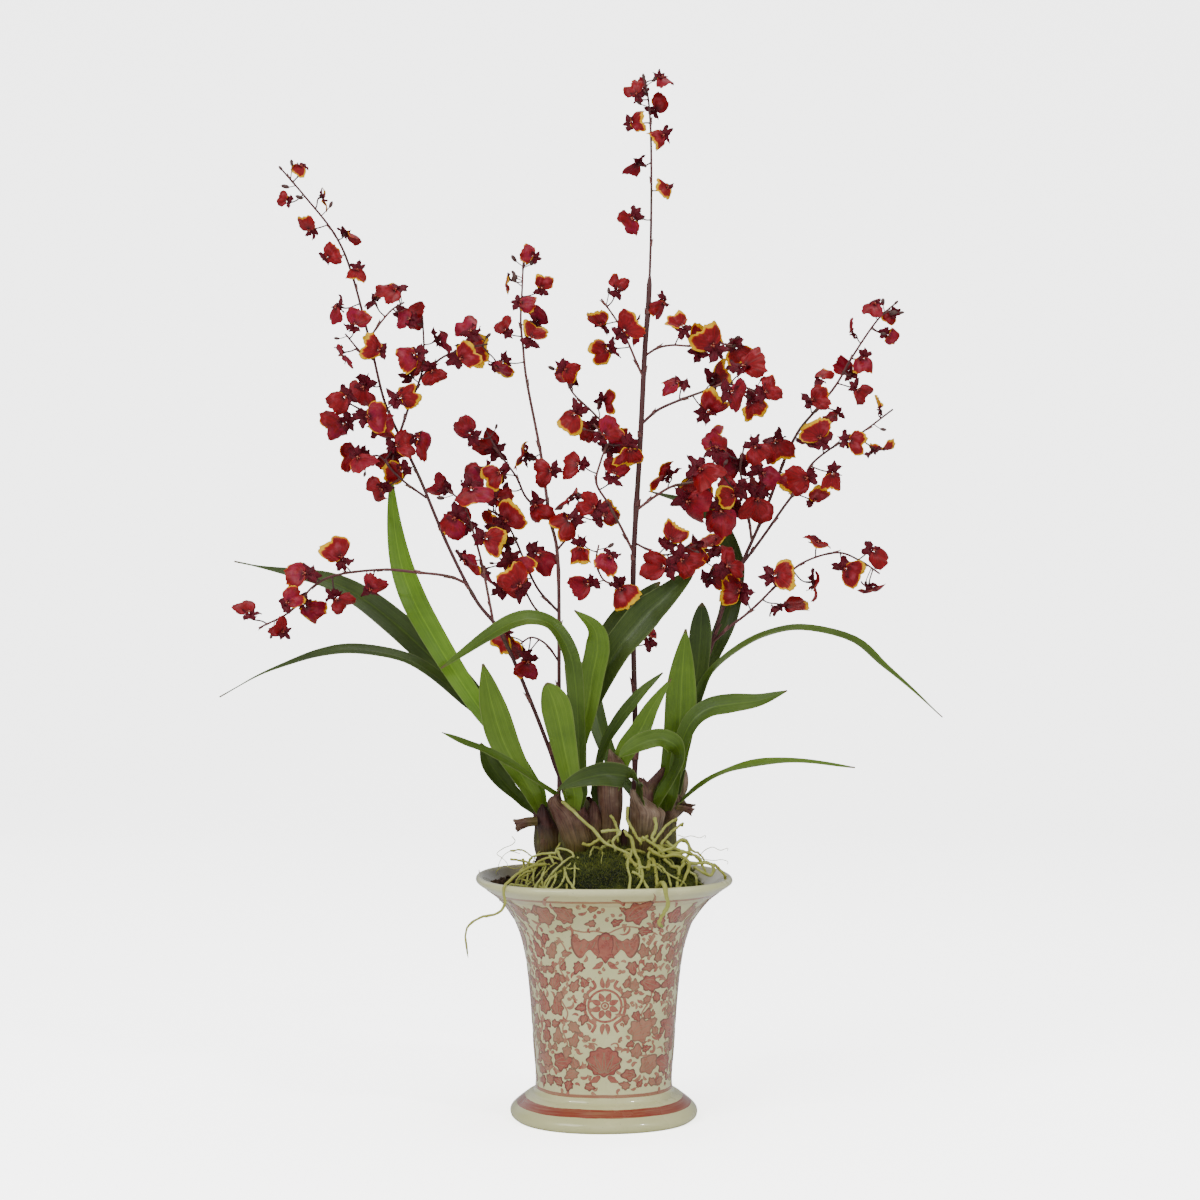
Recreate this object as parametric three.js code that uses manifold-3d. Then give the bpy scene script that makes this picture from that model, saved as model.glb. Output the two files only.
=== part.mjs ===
// An oncidium orchid in a flared porcelain pot: four branched flower spikes, strap leaves,
// pseudobulbs in papery sheaths, aerial roots, a moss mound and the soil that fills the pot.
// Millimetres, +Z up, the origin at the centre of the pot's underside, the front facing -Y.
import * as THREE from 'three';
import { mergeVertices } from 'three/addons/utils/BufferGeometryUtils.js';
import Module from 'manifold-3d';

const wasm = await Module();
wasm.setup();

// ---------------------------------------------------------------- driving dimensions

const GAP = 0.35; // between pieces that touch on the real plant

// Pot: each row is [radius, height], up the outside, over the rolled rim and down the inside.
const POT_PROFILE = [
  [0, 0], [72.5, 0], [75.6, 3], [74.4, 8.5], [62.5, 18], [56.3, 21.5], [55.4, 37], [57.4, 62],
  [60, 98], [64, 130], [69.5, 150], [77, 163], [87, 175], [98.5, 183.4], [105, 188.2],
  [104, 191.8], [99, 190.8], [86, 177.5], [62, 145], [50, 30], [0, 14],
];
const POT_SIDES = 28;
const POT_BOW = 0.016; // how far the four soft corners stand out, as a share of the radius
const POT_BOW_RIM = 0.014; // what the flare adds to it
const POT_TURN = THREE.MathUtils.degToRad(4.4);
const RIM_HEIGHT = 192;

const SOIL_TOP = 178;
const SOIL_FLOOR = 31.5;
const SOIL_BEND = 145; // where the pot's inside turns out to the flare
const SOIL_CLEAR = 0.6;

const MOSS_CENTRE_X = 5;
const MOSS_RADIUS = 75;
const MOSS_RISE = 37;
const MOSS_LUMP = 1.4;
const MOSS_SIDES = 20;

const STALK_HOLE = 1; // how much wider than the stalk its hole in the moss is

const BULB_RADIUS = 12;
const BULB_DEPTH = 0.7; // a pseudobulb is flattened from front to back
const BULB_FOOT = 203;
const BULB_TOP = 255;

const SHEATH_THICKNESS = 0.8;
const LEAF_THICKNESS = 1.1;
const LEAF_START = 0.55; // width at the base, as a share of the full width
const LEAF_WIDEST = 0.6; // station of the full width
const LEAF_TAPER = 0.8; // how fast a blade narrows from there to its tip

const ROOT_RADIUS = 1.5;
const ROOT_SIDES = 3;
const ROOT_LIFT = 4.9; // height of a root's axis over the moss formula
const CROWN_RADIUS = 5; // of the knot that a group's roots leave from

const STALK_SIDES = 5;
const BRANCH_SIDES = 3;
const TIP_RADIUS = 1;
const PEDICEL_RADIUS = 0.48;
const BLOOM_REACH = [11, 20]; // pedicel length, shortest and longest
const BLOOM_ROOM = 18; // clear space a bloom of full size looks for
const BLOOM_MIDDLE = 5; // how far its middle lies from the star, towards the lip
const BLOOM_TILT = 0.5; // how far a bloom may look up or down its stem
const LIP_TURN = 2.5; // and how far its lip may turn from hanging down and out, in radians
const OWN_ROOM = 8.5; // room a bloom leaves round another of its own spray
const OTHER_ROOM = 13; // and round one of another spray
const LEAF_ROOM = 2; // and beyond the edge of a leaf
const STEM_ROOM = 4; // and round the stem of another spray

const FRONT = new THREE.Vector3(0, -1, 0);
const UP = new THREE.Vector3(0, 0, 1);

// ---------------------------------------------------------------- seeded draws

// The draws of one spray repeat exactly, because each starts from its own seed.
function drawsFrom(seed) {
  let state = seed;
  return (low = 0, high = 1) => {
    state = (state * 16807) % 2147483647;
    return low + (high - low) * (state / 2147483647);
  };
}

// ---------------------------------------------------------------- solids

function solidOf(geometry) {
  const plain = geometry.index ? geometry.toNonIndexed() : geometry.clone();
  const bare = new THREE.BufferGeometry().setAttribute('position', plain.getAttribute('position'));
  const merged = mergeVertices(bare, 1e-4);
  const corners = merged.index.array;
  const kept = [];
  for (let i = 0; i < corners.length; i += 3) {
    const [a, b, c] = [corners[i], corners[i + 1], corners[i + 2]];
    if (a !== b && b !== c && c !== a) kept.push(a, b, c);
  }
  return new wasm.Manifold(new wasm.Mesh({
    numProp: 3,
    vertProperties: merged.attributes.position.array,
    triVerts: new Uint32Array(kept),
  }));
}

function geometryOf(solid) {
  const { vertProperties, triVerts } = solid.getMesh();
  const geometry = new THREE.BufferGeometry();
  geometry.setAttribute('position', new THREE.BufferAttribute(new Float32Array(vertProperties), 3));
  geometry.setIndex(new THREE.BufferAttribute(new Uint32Array(triVerts), 1));
  geometry.computeVertexNormals();
  return geometry;
}

function joined(solids) {
  return solids.reduce((whole, solid) => whole.add(solid));
}

const curveThrough = (route) =>
  new THREE.CatmullRomCurve3(route.map((p) => new THREE.Vector3(...p)), false, 'catmullrom', 0.5);

// A cylinder bent along a curve, with a radius for each station.
function bentRod(curve, radiusAt, sides, steps) {
  const rod = new THREE.CylinderGeometry(1, 1, 1, sides, steps).toNonIndexed();
  const points = [];
  for (let i = 0; i <= steps; i++) points.push(curve.getPoint(i / steps));
  const alongs = points.map((p, i) =>
    points[Math.min(i + 1, steps)].clone().sub(points[Math.max(i - 1, 0)]).normalize());
  let across = new THREE.Vector3(0.6, -0.8, 0.01);
  const acrosses = alongs.map((along) => {
    across = across.clone().addScaledVector(along, -across.dot(along)).normalize();
    return across;
  });
  const at = rod.getAttribute('position');
  for (let v = 0; v < at.count; v++) {
    const i = Math.round((at.getY(v) + 0.5) * steps);
    const third = new THREE.Vector3().crossVectors(alongs[i], acrosses[i]);
    const radius = radiusAt(i / steps);
    const moved = points[i].clone()
      .addScaledVector(third, at.getX(v) * radius)
      .addScaledVector(acrosses[i], at.getZ(v) * radius);
    at.setXYZ(v, moved.x, moved.y, moved.z);
  }
  return solidOf(rod);
}

// A closed sheet from a grid of points: both faces are split into triangles alike.
function sheetSolid(grid, thickness) {
  const rows = grid.length;
  const columns = grid[0].length;
  const normalAt = (r, c) => {
    const down = grid[Math.min(r + 1, rows - 1)][c].clone().sub(grid[Math.max(r - 1, 0)][c]);
    const over = grid[r][Math.min(c + 1, columns - 1)].clone().sub(grid[r][Math.max(c - 1, 0)]);
    return over.cross(down).normalize();
  };
  const backPoint = (p, r, c) => p.clone().addScaledVector(normalAt(r, c), -thickness);
  const back = grid.map((row, r) => row.map((p, c) => backPoint(p, r, c)));
  const corners = [];
  const quad = (a, b, c, d) => corners.push(a, b, c, a, c, d);
  for (let r = 0; r + 1 < rows; r++) {
    for (let c = 0; c + 1 < columns; c++) {
      quad(grid[r][c], grid[r][c + 1], grid[r + 1][c + 1], grid[r + 1][c]);
      corners.push(back[r][c], back[r + 1][c + 1], back[r][c + 1]);
      corners.push(back[r][c], back[r + 1][c], back[r + 1][c + 1]);
    }
    const last = columns - 1;
    quad(grid[r][0], grid[r + 1][0], back[r + 1][0], back[r][0]);
    quad(grid[r + 1][last], grid[r][last], back[r][last], back[r + 1][last]);
  }
  for (let c = 0; c + 1 < columns; c++) {
    const end = rows - 1;
    quad(grid[0][c + 1], grid[0][c], back[0][c], back[0][c + 1]);
    quad(grid[end][c], grid[end][c + 1], back[end][c + 1], back[end][c]);
  }
  return solidOf(new THREE.BufferGeometry().setFromPoints(corners));
}

// ---------------------------------------------------------------- pot, soil and moss

// A turned profile, pushed out a little at four soft corners.
function bowedLathe(profile, sides) {
  const points = profile.map(([radius, height]) => new THREE.Vector2(radius, height));
  const lathe = new THREE.LatheGeometry(points, sides).rotateX(Math.PI / 2).toNonIndexed();
  const at = lathe.getAttribute('position');
  for (let v = 0; v < at.count; v++) {
    const flare = THREE.MathUtils.smoothstep(at.getZ(v), 140, RIM_HEIGHT);
    const bow = POT_BOW + POT_BOW_RIM * flare;
    const angle = Math.atan2(at.getY(v), at.getX(v)) - POT_TURN;
    const grow = 1 - bow * Math.cos(4 * angle);
    at.setXY(v, at.getX(v) * grow, at.getY(v) * grow);
  }
  return solidOf(lathe);
}

function insideRadius(height) {
  const wall = POT_PROFILE.slice(-5, -1);
  const i = wall.findIndex(([, z]) => z <= height);
  const [[r1, z1], [r0, z0]] = [wall[i - 1], wall[i]];
  return THREE.MathUtils.mapLinear(height, z0, z1, r0, r1);
}

// The soil fills the pot, a little clear of its wall.
function soil() {
  const heights = [SOIL_FLOOR, SOIL_BEND, SOIL_TOP];
  const side = heights.map((height) => [insideRadius(height) - SOIL_CLEAR, height]);
  return bowedLathe([[0, SOIL_FLOOR], ...side, [0, SOIL_TOP]], POT_SIDES);
}

function mossHeight(x, y) {
  const share = Math.min(Math.hypot(x - MOSS_CENTRE_X, y) / MOSS_RADIUS, 1);
  return SOIL_TOP + MOSS_RISE * Math.pow(1 - Math.pow(share, 2.6), 0.8);
}

function moss(holes) {
  const shares = [1, 0.96, 0.85, 0.66, 0.4, 0];
  const profile = shares.map((share) => new THREE.Vector2(
    share * MOSS_RADIUS, share === 1 ? SOIL_TOP + 4 : mossHeight(MOSS_CENTRE_X + share * MOSS_RADIUS, 0)));
  profile.unshift(new THREE.Vector2(0, SOIL_TOP + GAP), new THREE.Vector2(MOSS_RADIUS - 2, SOIL_TOP + GAP));
  const mound = new THREE.LatheGeometry(profile, MOSS_SIDES).rotateX(Math.PI / 2).toNonIndexed();
  const at = mound.getAttribute('position');
  for (let v = 0; v < at.count; v++) {
    const angle = Math.atan2(at.getY(v), at.getX(v));
    const radius = Math.hypot(at.getX(v), at.getY(v));
    const lump = MOSS_LUMP * Math.sin(5 * angle + radius * 0.11) * Math.cos(3 * angle - radius * 0.07);
    const lifted = at.getZ(v) > SOIL_TOP + 1 && radius > 1 ? lump : 0;
    const grow = radius > 1 ? 1 + lifted / radius : 1;
    at.setXYZ(v, at.getX(v) * grow + MOSS_CENTRE_X, at.getY(v) * grow, at.getZ(v) + lifted * 0.5);
  }
  return holes.reduce((solid, hole) => solid.subtract(hole), solidOf(mound));
}

// ---------------------------------------------------------------- pseudobulbs and sheaths

// Centre of each pseudobulb on the mound, and its height as a share of the full one.
const BULBS = [
  [-44, 0, 0.92], [-24, -14, 0.96], [2, -4, 1], [31, -10, 0.97], [47, 7, 0.93],
  [-17, 24, 0.95], [35, 27, 0.92],
];
const BULB_SHAPE = [[0, 0], [0.7, 0], [1, 0.36], [0.74, 0.78], [0, 1]];
const BULB_SIDES = 8;
const SOCKET_SIDES = 6;

function bulbTop(bulb) {
  return BULB_FOOT + (BULB_TOP - BULB_FOOT) * bulb[2];
}

function bulbSolid(bulb) {
  const tall = bulbTop(bulb) - BULB_FOOT;
  const profile = BULB_SHAPE.map(([r, z]) => new THREE.Vector2(r * BULB_RADIUS, z * tall));
  const lathe = new THREE.LatheGeometry(profile, BULB_SIDES).rotateX(Math.PI / 2);
  lathe.scale(1, BULB_DEPTH, 1).translate(bulb[0], bulb[1], BULB_FOOT);
  return solidOf(lathe);
}

function bulbSocket(bulb) {
  const socket = new THREE.CylinderGeometry(BULB_RADIUS + 2, BULB_RADIUS + 2, 40, SOCKET_SIDES);
  socket.rotateX(Math.PI / 2).scale(1, BULB_DEPTH + 0.02, 1);
  socket.translate(bulb[0], bulb[1], BULB_FOOT - GAP + 20);
  return solidOf(socket);
}

// Each sheath: [bulb, direction it faces in degrees, half angle it covers, foot, top, curl of the tip].
const SHEATHS = [
  [0, 185, 32, 213, 246, 9], [0, 262, 38, 216, 250, 3], [1, 262, 62, 214, 254, 4],
  [2, 270, 62, 217, 256, 4], [3, 258, 62, 215, 256, 4], [4, 306, 38, 214, 250, 4],
  [4, 14, 26, 214, 250, 8], [5, 90, 62, 214, 254, 4], [6, 80, 62, 213, 252, 5],
];
const SHEATH_ROWS = 4;
const SHEATH_STANDOFF = 3.2;

function sheath([bulbIndex, facing, half, foot, top, curl]) {
  const [x, y] = BULBS[bulbIndex];
  const grid = [];
  for (let r = 0; r < SHEATH_ROWS; r++) {
    const t = r / (SHEATH_ROWS - 1);
    const spread = half * (1 - 0.86 * t * t);
    const away = BULB_RADIUS + SHEATH_STANDOFF + curl * t * t * t;
    const height = foot + (top - foot) * (t - 0.12 * t * t * t);
    grid.push([-1, 0, 1].map((side) => {
      const angle = THREE.MathUtils.degToRad(facing + side * spread);
      const deep = (away * BULB_DEPTH + 1.2) * Math.sin(angle);
      return new THREE.Vector3(x + away * Math.cos(angle), y + deep, height);
    }));
  }
  return sheetSolid(grid, SHEATH_THICKNESS);
}

// ---------------------------------------------------------------- leaves

const LEAF_FRONT = [0, -0.86, 0.5]; // the way most faces turn
// Each leaf: the full width, then the route of its midrib from the base to the tip. Some rows add
// the way their face turns, the station where they are widest and how fast they narrow from there.
const LEAVES = [
  [21, [[-52, -5, 258], [-76, -5, 296], [-99, -3, 325], [-121, 2, 357], [-140, 7, 388], [-153, 12, 412],
    [-163, 14, 440], [-169, 16, 474], [-172, 18, 516]]],
  [23, [[-54, 6, 258], [-84, 12, 305], [-112, 20, 342], [-140, 28, 366], [-168, 36, 391], [-197, 44, 413],
    [-224, 48, 427], [-254, 51, 434], [-280, 54, 439], [-304, 56, 444]], LEAF_FRONT, 0.42, 1.7],
  [16, [[-56, -1, 256], [-92, 4, 312], [-114, 8, 333], [-140, 10, 354], [-164, 10, 366], [-200, 6, 372],
    [-228, 2, 369], [-256, -2, 360], [-278, -6, 351], [-306, -10, 335]], [0, -0.5, 0.87], 0.42, 1.6],
  [24, [[-56, -16, 257], [-66, -22, 275], [-79, -28, 300], [-88, -32, 330], [-95, -36, 362]]],
  [10, [[-37, -22, 258], [-54, -32, 270], [-70, -40, 282], [-91, -50, 294], [-107, -58, 301],
    [-125, -66, 310]], [0, -0.6, 0.8]],
  [16, [[-64, 3, 250], [-78, 2, 264], [-90, -1, 280], [-98, -5, 298]]],
  [24, [[-23, -25, 257], [-27, -30, 275], [-33, -33, 305], [-38, -34, 328], [-45, -36, 347]],
    LEAF_FRONT, 0.72, 0.55],
  [20, [[-27, -11, 257], [-22, -12, 290], [-14, -13, 322], [-9, -15, 352], [-5, -18, 374], [-8, -23, 390],
    [-23, -30, 404]]],
  [18, [[-18, -18, 258], [-20, -21, 300], [-22, -24, 340], [-27, -28, 370], [-40, -32, 391],
    [-56, -35, 397], [-72, -37, 394], [-90, -40, 384], [-108, -44, 372], [-127, -50, 359]], [0, -0.6, 0.8]],
  [27, [[-20, -2, 258], [-23, -2, 290], [-17, -2, 318], [-5, -3, 345], [9, -4, 370], [21, -5, 385],
    [35, -6, 401], [48, -9, 413], [72, -12, 436]], LEAF_FRONT, 0.72, 0.55],
  [20, [[-26, 18, 256], [-31, 22, 285], [-27, 25, 305], [-18, 27, 325], [-9, 29, 345], [-1, 30, 368],
    [7, 31, 385], [20, 33, 402], [33, 35, 414], [46, 37, 427]], LEAF_FRONT, 0.7, 0.6],
  [25, [[48, -9, 256], [54, -10, 276], [60, -13, 312], [62, -15, 350], [65, -19, 389]]],
  [10, [[-8, 6, 257], [-1, 6, 292], [11, 5, 314], [29, 2, 337], [47, -2, 354]]],
  [17, [[6, -17, 258], [11, -19, 272], [15, -20, 286], [19, -21, 295], [29, -22, 309], [38, -24, 327],
    [53, -28, 350]]],
  [18, [[45, -20, 257], [54, -25, 272], [60, -32, 287], [56, -38, 298], [44, -43, 303], [30, -47, 300],
    [18, -49, 294], [11, -50, 289]], [-0.6, -0.7, 0.4], 0.7, 1],
  [19, [[29, -25, 257], [28, -38, 268], [19, -50, 274], [4, -56, 276.5], [-12, -61, 274.5], [-26, -64, 270],
    [-36.5, -66, 265]], [-0.7, -0.7, 0.1], 0.5, 1],
  [18, [[58, 0, 256], [67, 0, 302], [77, -1, 336], [87, -3, 355], [105, -8, 371], [129, -12, 384],
    [158, -17, 389], [197, -22, 380], [221, -26, 360], [245, -29, 340], [267, -31, 320]],
    [0, -0.25, 0.97], 0.5, 0.9],
  [17, [[54, -17, 257], [59, -21, 290], [68, -25, 314], [82, -28, 326], [100, -31, 330], [122, -34, 333],
    [144, -37, 341]]],
  [13, [[61, -9, 251], [74, -14, 263], [90, -18, 273], [109, -24, 280], [131, -29, 284], [158, -34, 285],
    [197, -40, 281]], [0, -0.35, 0.94]],
  [17, [[56, 22, 257], [57, 28, 290], [61, 31, 315], [70, 33, 337], [88, 36, 368], [101, 40, 397],
    [106, 44, 425], [106, 48, 446], [93, 52, 476], [69, 56, 492], [37, 60, 502]]],
  [18, [[55, 9, 257], [64, 9, 300], [73, 8, 340], [77, 7, 375], [79, 8, 410]], LEAF_FRONT, 0.8, 0.6],
  [20, [[-19, 30, 257], [-21, 48, 310], [-22, 78, 345], [-24, 112, 358], [-28, 148, 342]]],
  [15, [[-30, 24, 257], [-34, 40, 275], [-37, 70, 290], [-38, 106, 292], [-40, 146, 276]]],
  [17, [[46, 33, 257], [58, 50, 292], [66, 82, 318], [70, 120, 322], [74, 154, 304]]],
  [16, [[24, 31, 256], [11, 44, 272], [-1, 64, 298], [-9, 92, 326], [-13, 122, 340], [-16, 150, 328]]],
];
const LEAF_FOLD = 0.28; // how far the edges stand forward of the midrib, as a share of the half width

function leafWidth(width, t, widest, taper) {
  if (t < widest) {
    return width * (LEAF_START + (1 - LEAF_START) * THREE.MathUtils.smoothstep(t, 0, widest));
  }
  const toTip = (t - widest) / (1 - widest);
  return width * Math.max(0.06, Math.pow(Math.max(0, Math.cos(toTip * Math.PI / 2)), taper));
}

function leafStations([width, route, facing = LEAF_FRONT, widest = LEAF_WIDEST, taper = LEAF_TAPER]) {
  const curve = curveThrough(route);
  const steps = THREE.MathUtils.clamp(Math.round(curve.getLength() / 46) + 2, 4, 6);
  const stations = [];
  for (let i = 0; i <= steps; i++) {
    const t = i / steps;
    const along = curve.getTangent(t);
    const across = new THREE.Vector3().crossVectors(along, new THREE.Vector3(...facing)).normalize();
    stations.push({ at: curve.getPoint(t), along, across, half: leafWidth(width, t, widest, taper) / 2 });
  }
  return stations;
}

function leaf(entry) {
  const grid = leafStations(entry).map(({ at, along, across, half }) => {
    const face = new THREE.Vector3().crossVectors(across, along).normalize();
    if (face.y > 0) face.negate();
    const fold = face.multiplyScalar(half * LEAF_FOLD);
    const edge = (side) => at.clone().addScaledVector(across, side * half).add(fold);
    return [edge(-1), at.clone(), edge(1)];
  });
  return sheetSolid(grid, LEAF_THICKNESS);
}

// ---------------------------------------------------------------- aerial roots

// Each group: the crown its roots leave from, where the roots that lie on the moss end, and the
// routes of those that hang over the rim.
const ROOT_GROUPS = {
  roots_left: {
    seed: 5,
    crown: [-46, -34],
    ends: [[-80, -6], [-78, -26], [-70, -44], [-54, -60], [-36, -70], [-18, -70]],
    hanging: [
      [[-62, -50, 203], [-75, -67, 198], [-82, -75, 188], [-80, -76, 166]],
      [[-70, -34, 203], [-92, -38, 200], [-107, -43, 192], [-112, -46, 164], [-108, -46, 128]],
    ],
  },
  roots_middle: {
    seed: 8,
    crown: [12, -36],
    ends: [[-4, -72], [10, -76], [26, -74]],
    hanging: [],
  },
  roots_right: {
    seed: 13,
    crown: [50, -32],
    ends: [[82, -2], [80, -20], [74, -36], [62, -52], [38, -66]],
    hanging: [
      [[50, -60, 206], [50, -88, 199.5], [49, -99, 190], [47, -99, 170], [46, -93, 150]],
    ],
  },
  roots_back: {
    seed: 21,
    crown: [6, 44],
    ends: [[-54, 50], [-26, 72], [6, 80], [38, 70], [64, 48]],
    hanging: [],
  },
};

function rootRoute([x0, y0], [x1, y1], draw) {
  const route = [];
  for (const share of [0, 0.3, 0.65, 1]) {
    const wander = share % 1 ? draw(-5, 5) : 0;
    const long = Math.hypot(x1 - x0, y1 - y0);
    const x = x0 + (x1 - x0) * share + wander * (y0 - y1) / long;
    const y = y0 + (y1 - y0) * share + wander * (x1 - x0) / long;
    route.push([x, y, Math.max(mossHeight(x, y), SOIL_TOP + 3) + ROOT_LIFT]);
  }
  return route;
}

function rootGroup({ seed, crown, ends, hanging }) {
  const draw = drawsFrom(seed);
  const taper = (t) => ROOT_RADIUS * (1 - 0.4 * t);
  const heart = [...crown, mossHeight(...crown) + ROOT_LIFT];
  const lying = ends.map((end) => rootRoute(crown, end, draw));
  const routes = [...lying, ...hanging.map((route) => [heart, ...route])];
  const rods = routes.map((route) => bentRod(curveThrough(route), taper, ROOT_SIDES, route.length));
  const knot = new THREE.SphereGeometry(CROWN_RADIUS, 6, 3).rotateX(Math.PI / 2).scale(1, 1, 0.5);
  knot.translate(...heart);
  return joined([solidOf(knot), ...rods]);
}

// ---------------------------------------------------------------- flower spikes

// Each spike: its stalk from the soil up, then its branches. A line of the plan holds the base
// radius, the runs of blooms [how many, first station, last station, size] and the route.
const SPIKES = {
  spike_left: {
    seed: 101,
    stalk: [1.9, [[6, 0.5, 0.72, 1], [8, 0.74, 0.98, 0.76]], [
      [-20, 5, 206], [-26, 4, 236], [-34, 3, 266], [-58, 0, 330], [-82, -2, 385], [-102, -5, 412],
      [-124, -8, 455], [-146, -12, 508], [-162, -15, 542], [-174, -18, 570], [-184, -22, 612],
      [-199, -27, 670], [-212, -32, 700], [-234, -37, 728], [-253, -42, 750]]],
    branches: [
      [1.3, [[8, 0.42, 1, 0.95]], [[-109, -6, 425], [-124, -10, 431], [-149, -16, 434], [-175, -22, 436],
        [-209, -30, 432], [-228, -34, 423], [-246, -38, 403], [-270, -44, 390]]],
      [1.2, [[5, 0.4, 1, 0.95]], [[-162, -15, 544], [-154, -13, 568], [-146, -12, 588], [-143, -12, 607],
        [-144, -14, 638]]],
      [1.1, [[4, 0.35, 1, 1.05]], [[-146, -12, 588], [-130, -10, 604], [-112, -8, 612], [-92, -8, 616]]],
      [1.1, [[3, 0.4, 1, 1]], [[-168, -17, 552], [-180, -20, 558], [-191, -24, 562], [-206, -27, 570]]],
      [1.1, [[5, 0.3, 1, 1.05]], [[-142, -11, 494], [-156, -15, 504], [-167, -19, 514], [-178, -22, 526],
        [-194, -26, 522]]],
      [1.2, [[6, 0.3, 1, 1.1]], [[-88, -3, 393], [-95, -4, 430], [-99, -4, 448], [-105, -4, 469],
        [-112, -5, 488], [-124, -8, 500]]],
      [1, [[2, 0.5, 1, 1]], [[-182, -21, 602], [-192, -25, 608], [-204, -28, 622]]],
      [1, [[3, 0.4, 1, 1]], [[-186, -22, 618], [-178, -20, 630], [-168, -18, 642], [-158, -18, 648]]],
    ],
  },
  spike_centre_left: {
    seed: 202,
    stalk: [1.8, [[3, 0.36, 0.5, 1], [8, 0.66, 0.99, 0.86]], [
      [-37, 12, 206], [-36, 13, 260], [-36, 15, 348], [-37, 19, 444], [-44, 23, 480], [-50, 28, 524],
      [-54, 33, 546], [-63, 40, 592], [-66, 45, 619], [-68, 49, 641], [-67, 54, 668], [-66, 58, 696]]],
    branches: [
      [1.2, [[5, 0.3, 1, 1.05]], [[-44, 23, 480], [-62, 26, 494], [-71, 29, 512], [-84, 32, 530],
        [-96, 36, 550]]],
      [1.2, [[6, 0.3, 1, 1.1]], [[-36, 17, 402], [-51, 18, 418], [-60, 19, 434], [-71, 21, 460],
        [-80, 23, 476], [-94, 26, 486]]],
      [1.1, [[4, 0.35, 1, 1.1]], [[-36, 16, 390], [-54, 14, 404], [-64, 14, 420], [-76, 15, 434],
        [-84, 17, 446]]],
      [1.1, [[3, 0.4, 1, 1.05]], [[-38, 19, 452], [-28, 18, 464], [-18, 20, 478], [-12, 24, 496]]],
      [1, [[3, 0.4, 1, 0.95]], [[-36, 15, 362], [-46, 12, 376], [-58, 10, 382], [-68, 10, 376]]],
    ],
  },
  spike_tall: {
    seed: 303,
    stalk: [2.2, [[2, 0.25, 0.36, 0.95], [2, 0.56, 0.66, 1], [9, 0.72, 0.99, 0.86]], [
      [22, 8, 206], [25, 10, 276], [25, 12, 332], [24, 12, 372], [24, 11, 444], [29, 9, 532],
      [33, 8, 612], [36, 8, 652], [38, 8, 712], [38, 7, 778], [36, 6, 812], [32, 6, 832]]],
    branches: [
      [1.3, [[7, 0.3, 1, 1.05]], [[31, 8, 554], [43, 3, 564], [59, -3, 571], [76, -8, 577], [94, -12, 583],
        [108, -14, 582], [128, -18, 575]]],
      [1.1, [[4, 0.35, 1, 1.05]], [[33, 8, 608], [43, 5, 614], [55, 1, 616], [70, -3, 615], [87, -6, 618],
        [102, -9, 614]]],
      [1.3, [[7, 0.3, 1, 1.15]], [[26, 10, 484], [41, 4, 495], [55, 0, 503], [70, -4, 506], [84, -8, 509],
        [98, -12, 514]]],
      [1.1, [[4, 0.35, 1, 1]], [[32, 8, 590], [26, 4, 603], [19, 0, 619], [11, -4, 634], [-2, -8, 652]]],
      [1.1, [[5, 0.3, 1, 1]], [[28, 9, 524], [17, 4, 538], [3, 0, 550], [-10, -5, 563], [-26, -9, 579],
        [-34, -12, 602]]],
      [1.2, [[6, 0.25, 1, 1.05]], [[24, 11, 450], [13, 5, 472], [3, 0, 490], [-6, -5, 506], [-2, -9, 524],
        [2, -12, 538], [-8, -14, 552]]],
      [1, [[4, 0.35, 1, 1.1]], [[25, 11, 458], [36, 2, 452], [47, -6, 448], [58, -13, 450],
        [68, -18, 456]]],
      [1, [[3, 0.4, 1, 1]], [[24, 12, 420], [12, 4, 424], [0, -3, 428], [-6, -7, 442], [-4, -9, 456]]],
    ],
  },
  spike_right: {
    seed: 404,
    stalk: [2, [[4, 0.5, 0.64, 1], [10, 0.68, 0.99, 0.88]], [
      [57, 20, 206], [57, 19, 240], [59, 17, 268], [75, 18, 337], [87, 20, 375], [98, 22, 410],
      [113, 25, 444], [131, 28, 484], [147, 31, 526], [159, 34, 550], [174, 37, 568], [190, 40, 588],
      [204, 43, 612], [224, 47, 641], [240, 50, 656]]],
    branches: [
      [1.3, [[7, 0.3, 1, 0.95]], [[113, 25, 442], [128, 22, 462], [146, 18, 488], [161, 15, 508],
        [168, 12, 522], [186, 9, 536], [205, 7, 545], [232, 5, 565]]],
      [1.2, [[8, 0.25, 1, 1.05]], [[88, 20, 378], [101, 14, 390], [114, 11, 400], [126, 9, 411],
        [140, 8, 425], [160, 6, 442], [187, 4, 450], [206, 2, 443], [221, 1, 433]]],
      [1.1, [[3, 0.35, 1, 1.1]], [[110, 25, 436], [104, 20, 446], [96, 16, 442], [88, 13, 436]]],
      [1.2, [[7, 0.25, 1, 1.15]], [[120, 26, 460], [117, 22, 482], [114, 18, 500], [110, 15, 518],
        [114, 12, 540]]],
    ],
  },
};
const STALK_ROD_END = { spike_tall: 0.66 }; // station where the stiff rod of the tall stalk stops
const BUDS = [3, 0.93, 1]; // how many buds a stalk carries above its last bloom, and where
const TURNS = [0, 0.7, -0.7, 1.4, -1.4, 2.1, -2.1, 2.8]; // ways a pedicel may turn to stand clear
const TURN_STRETCH = 0.06; // how much longer each further try makes it

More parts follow.
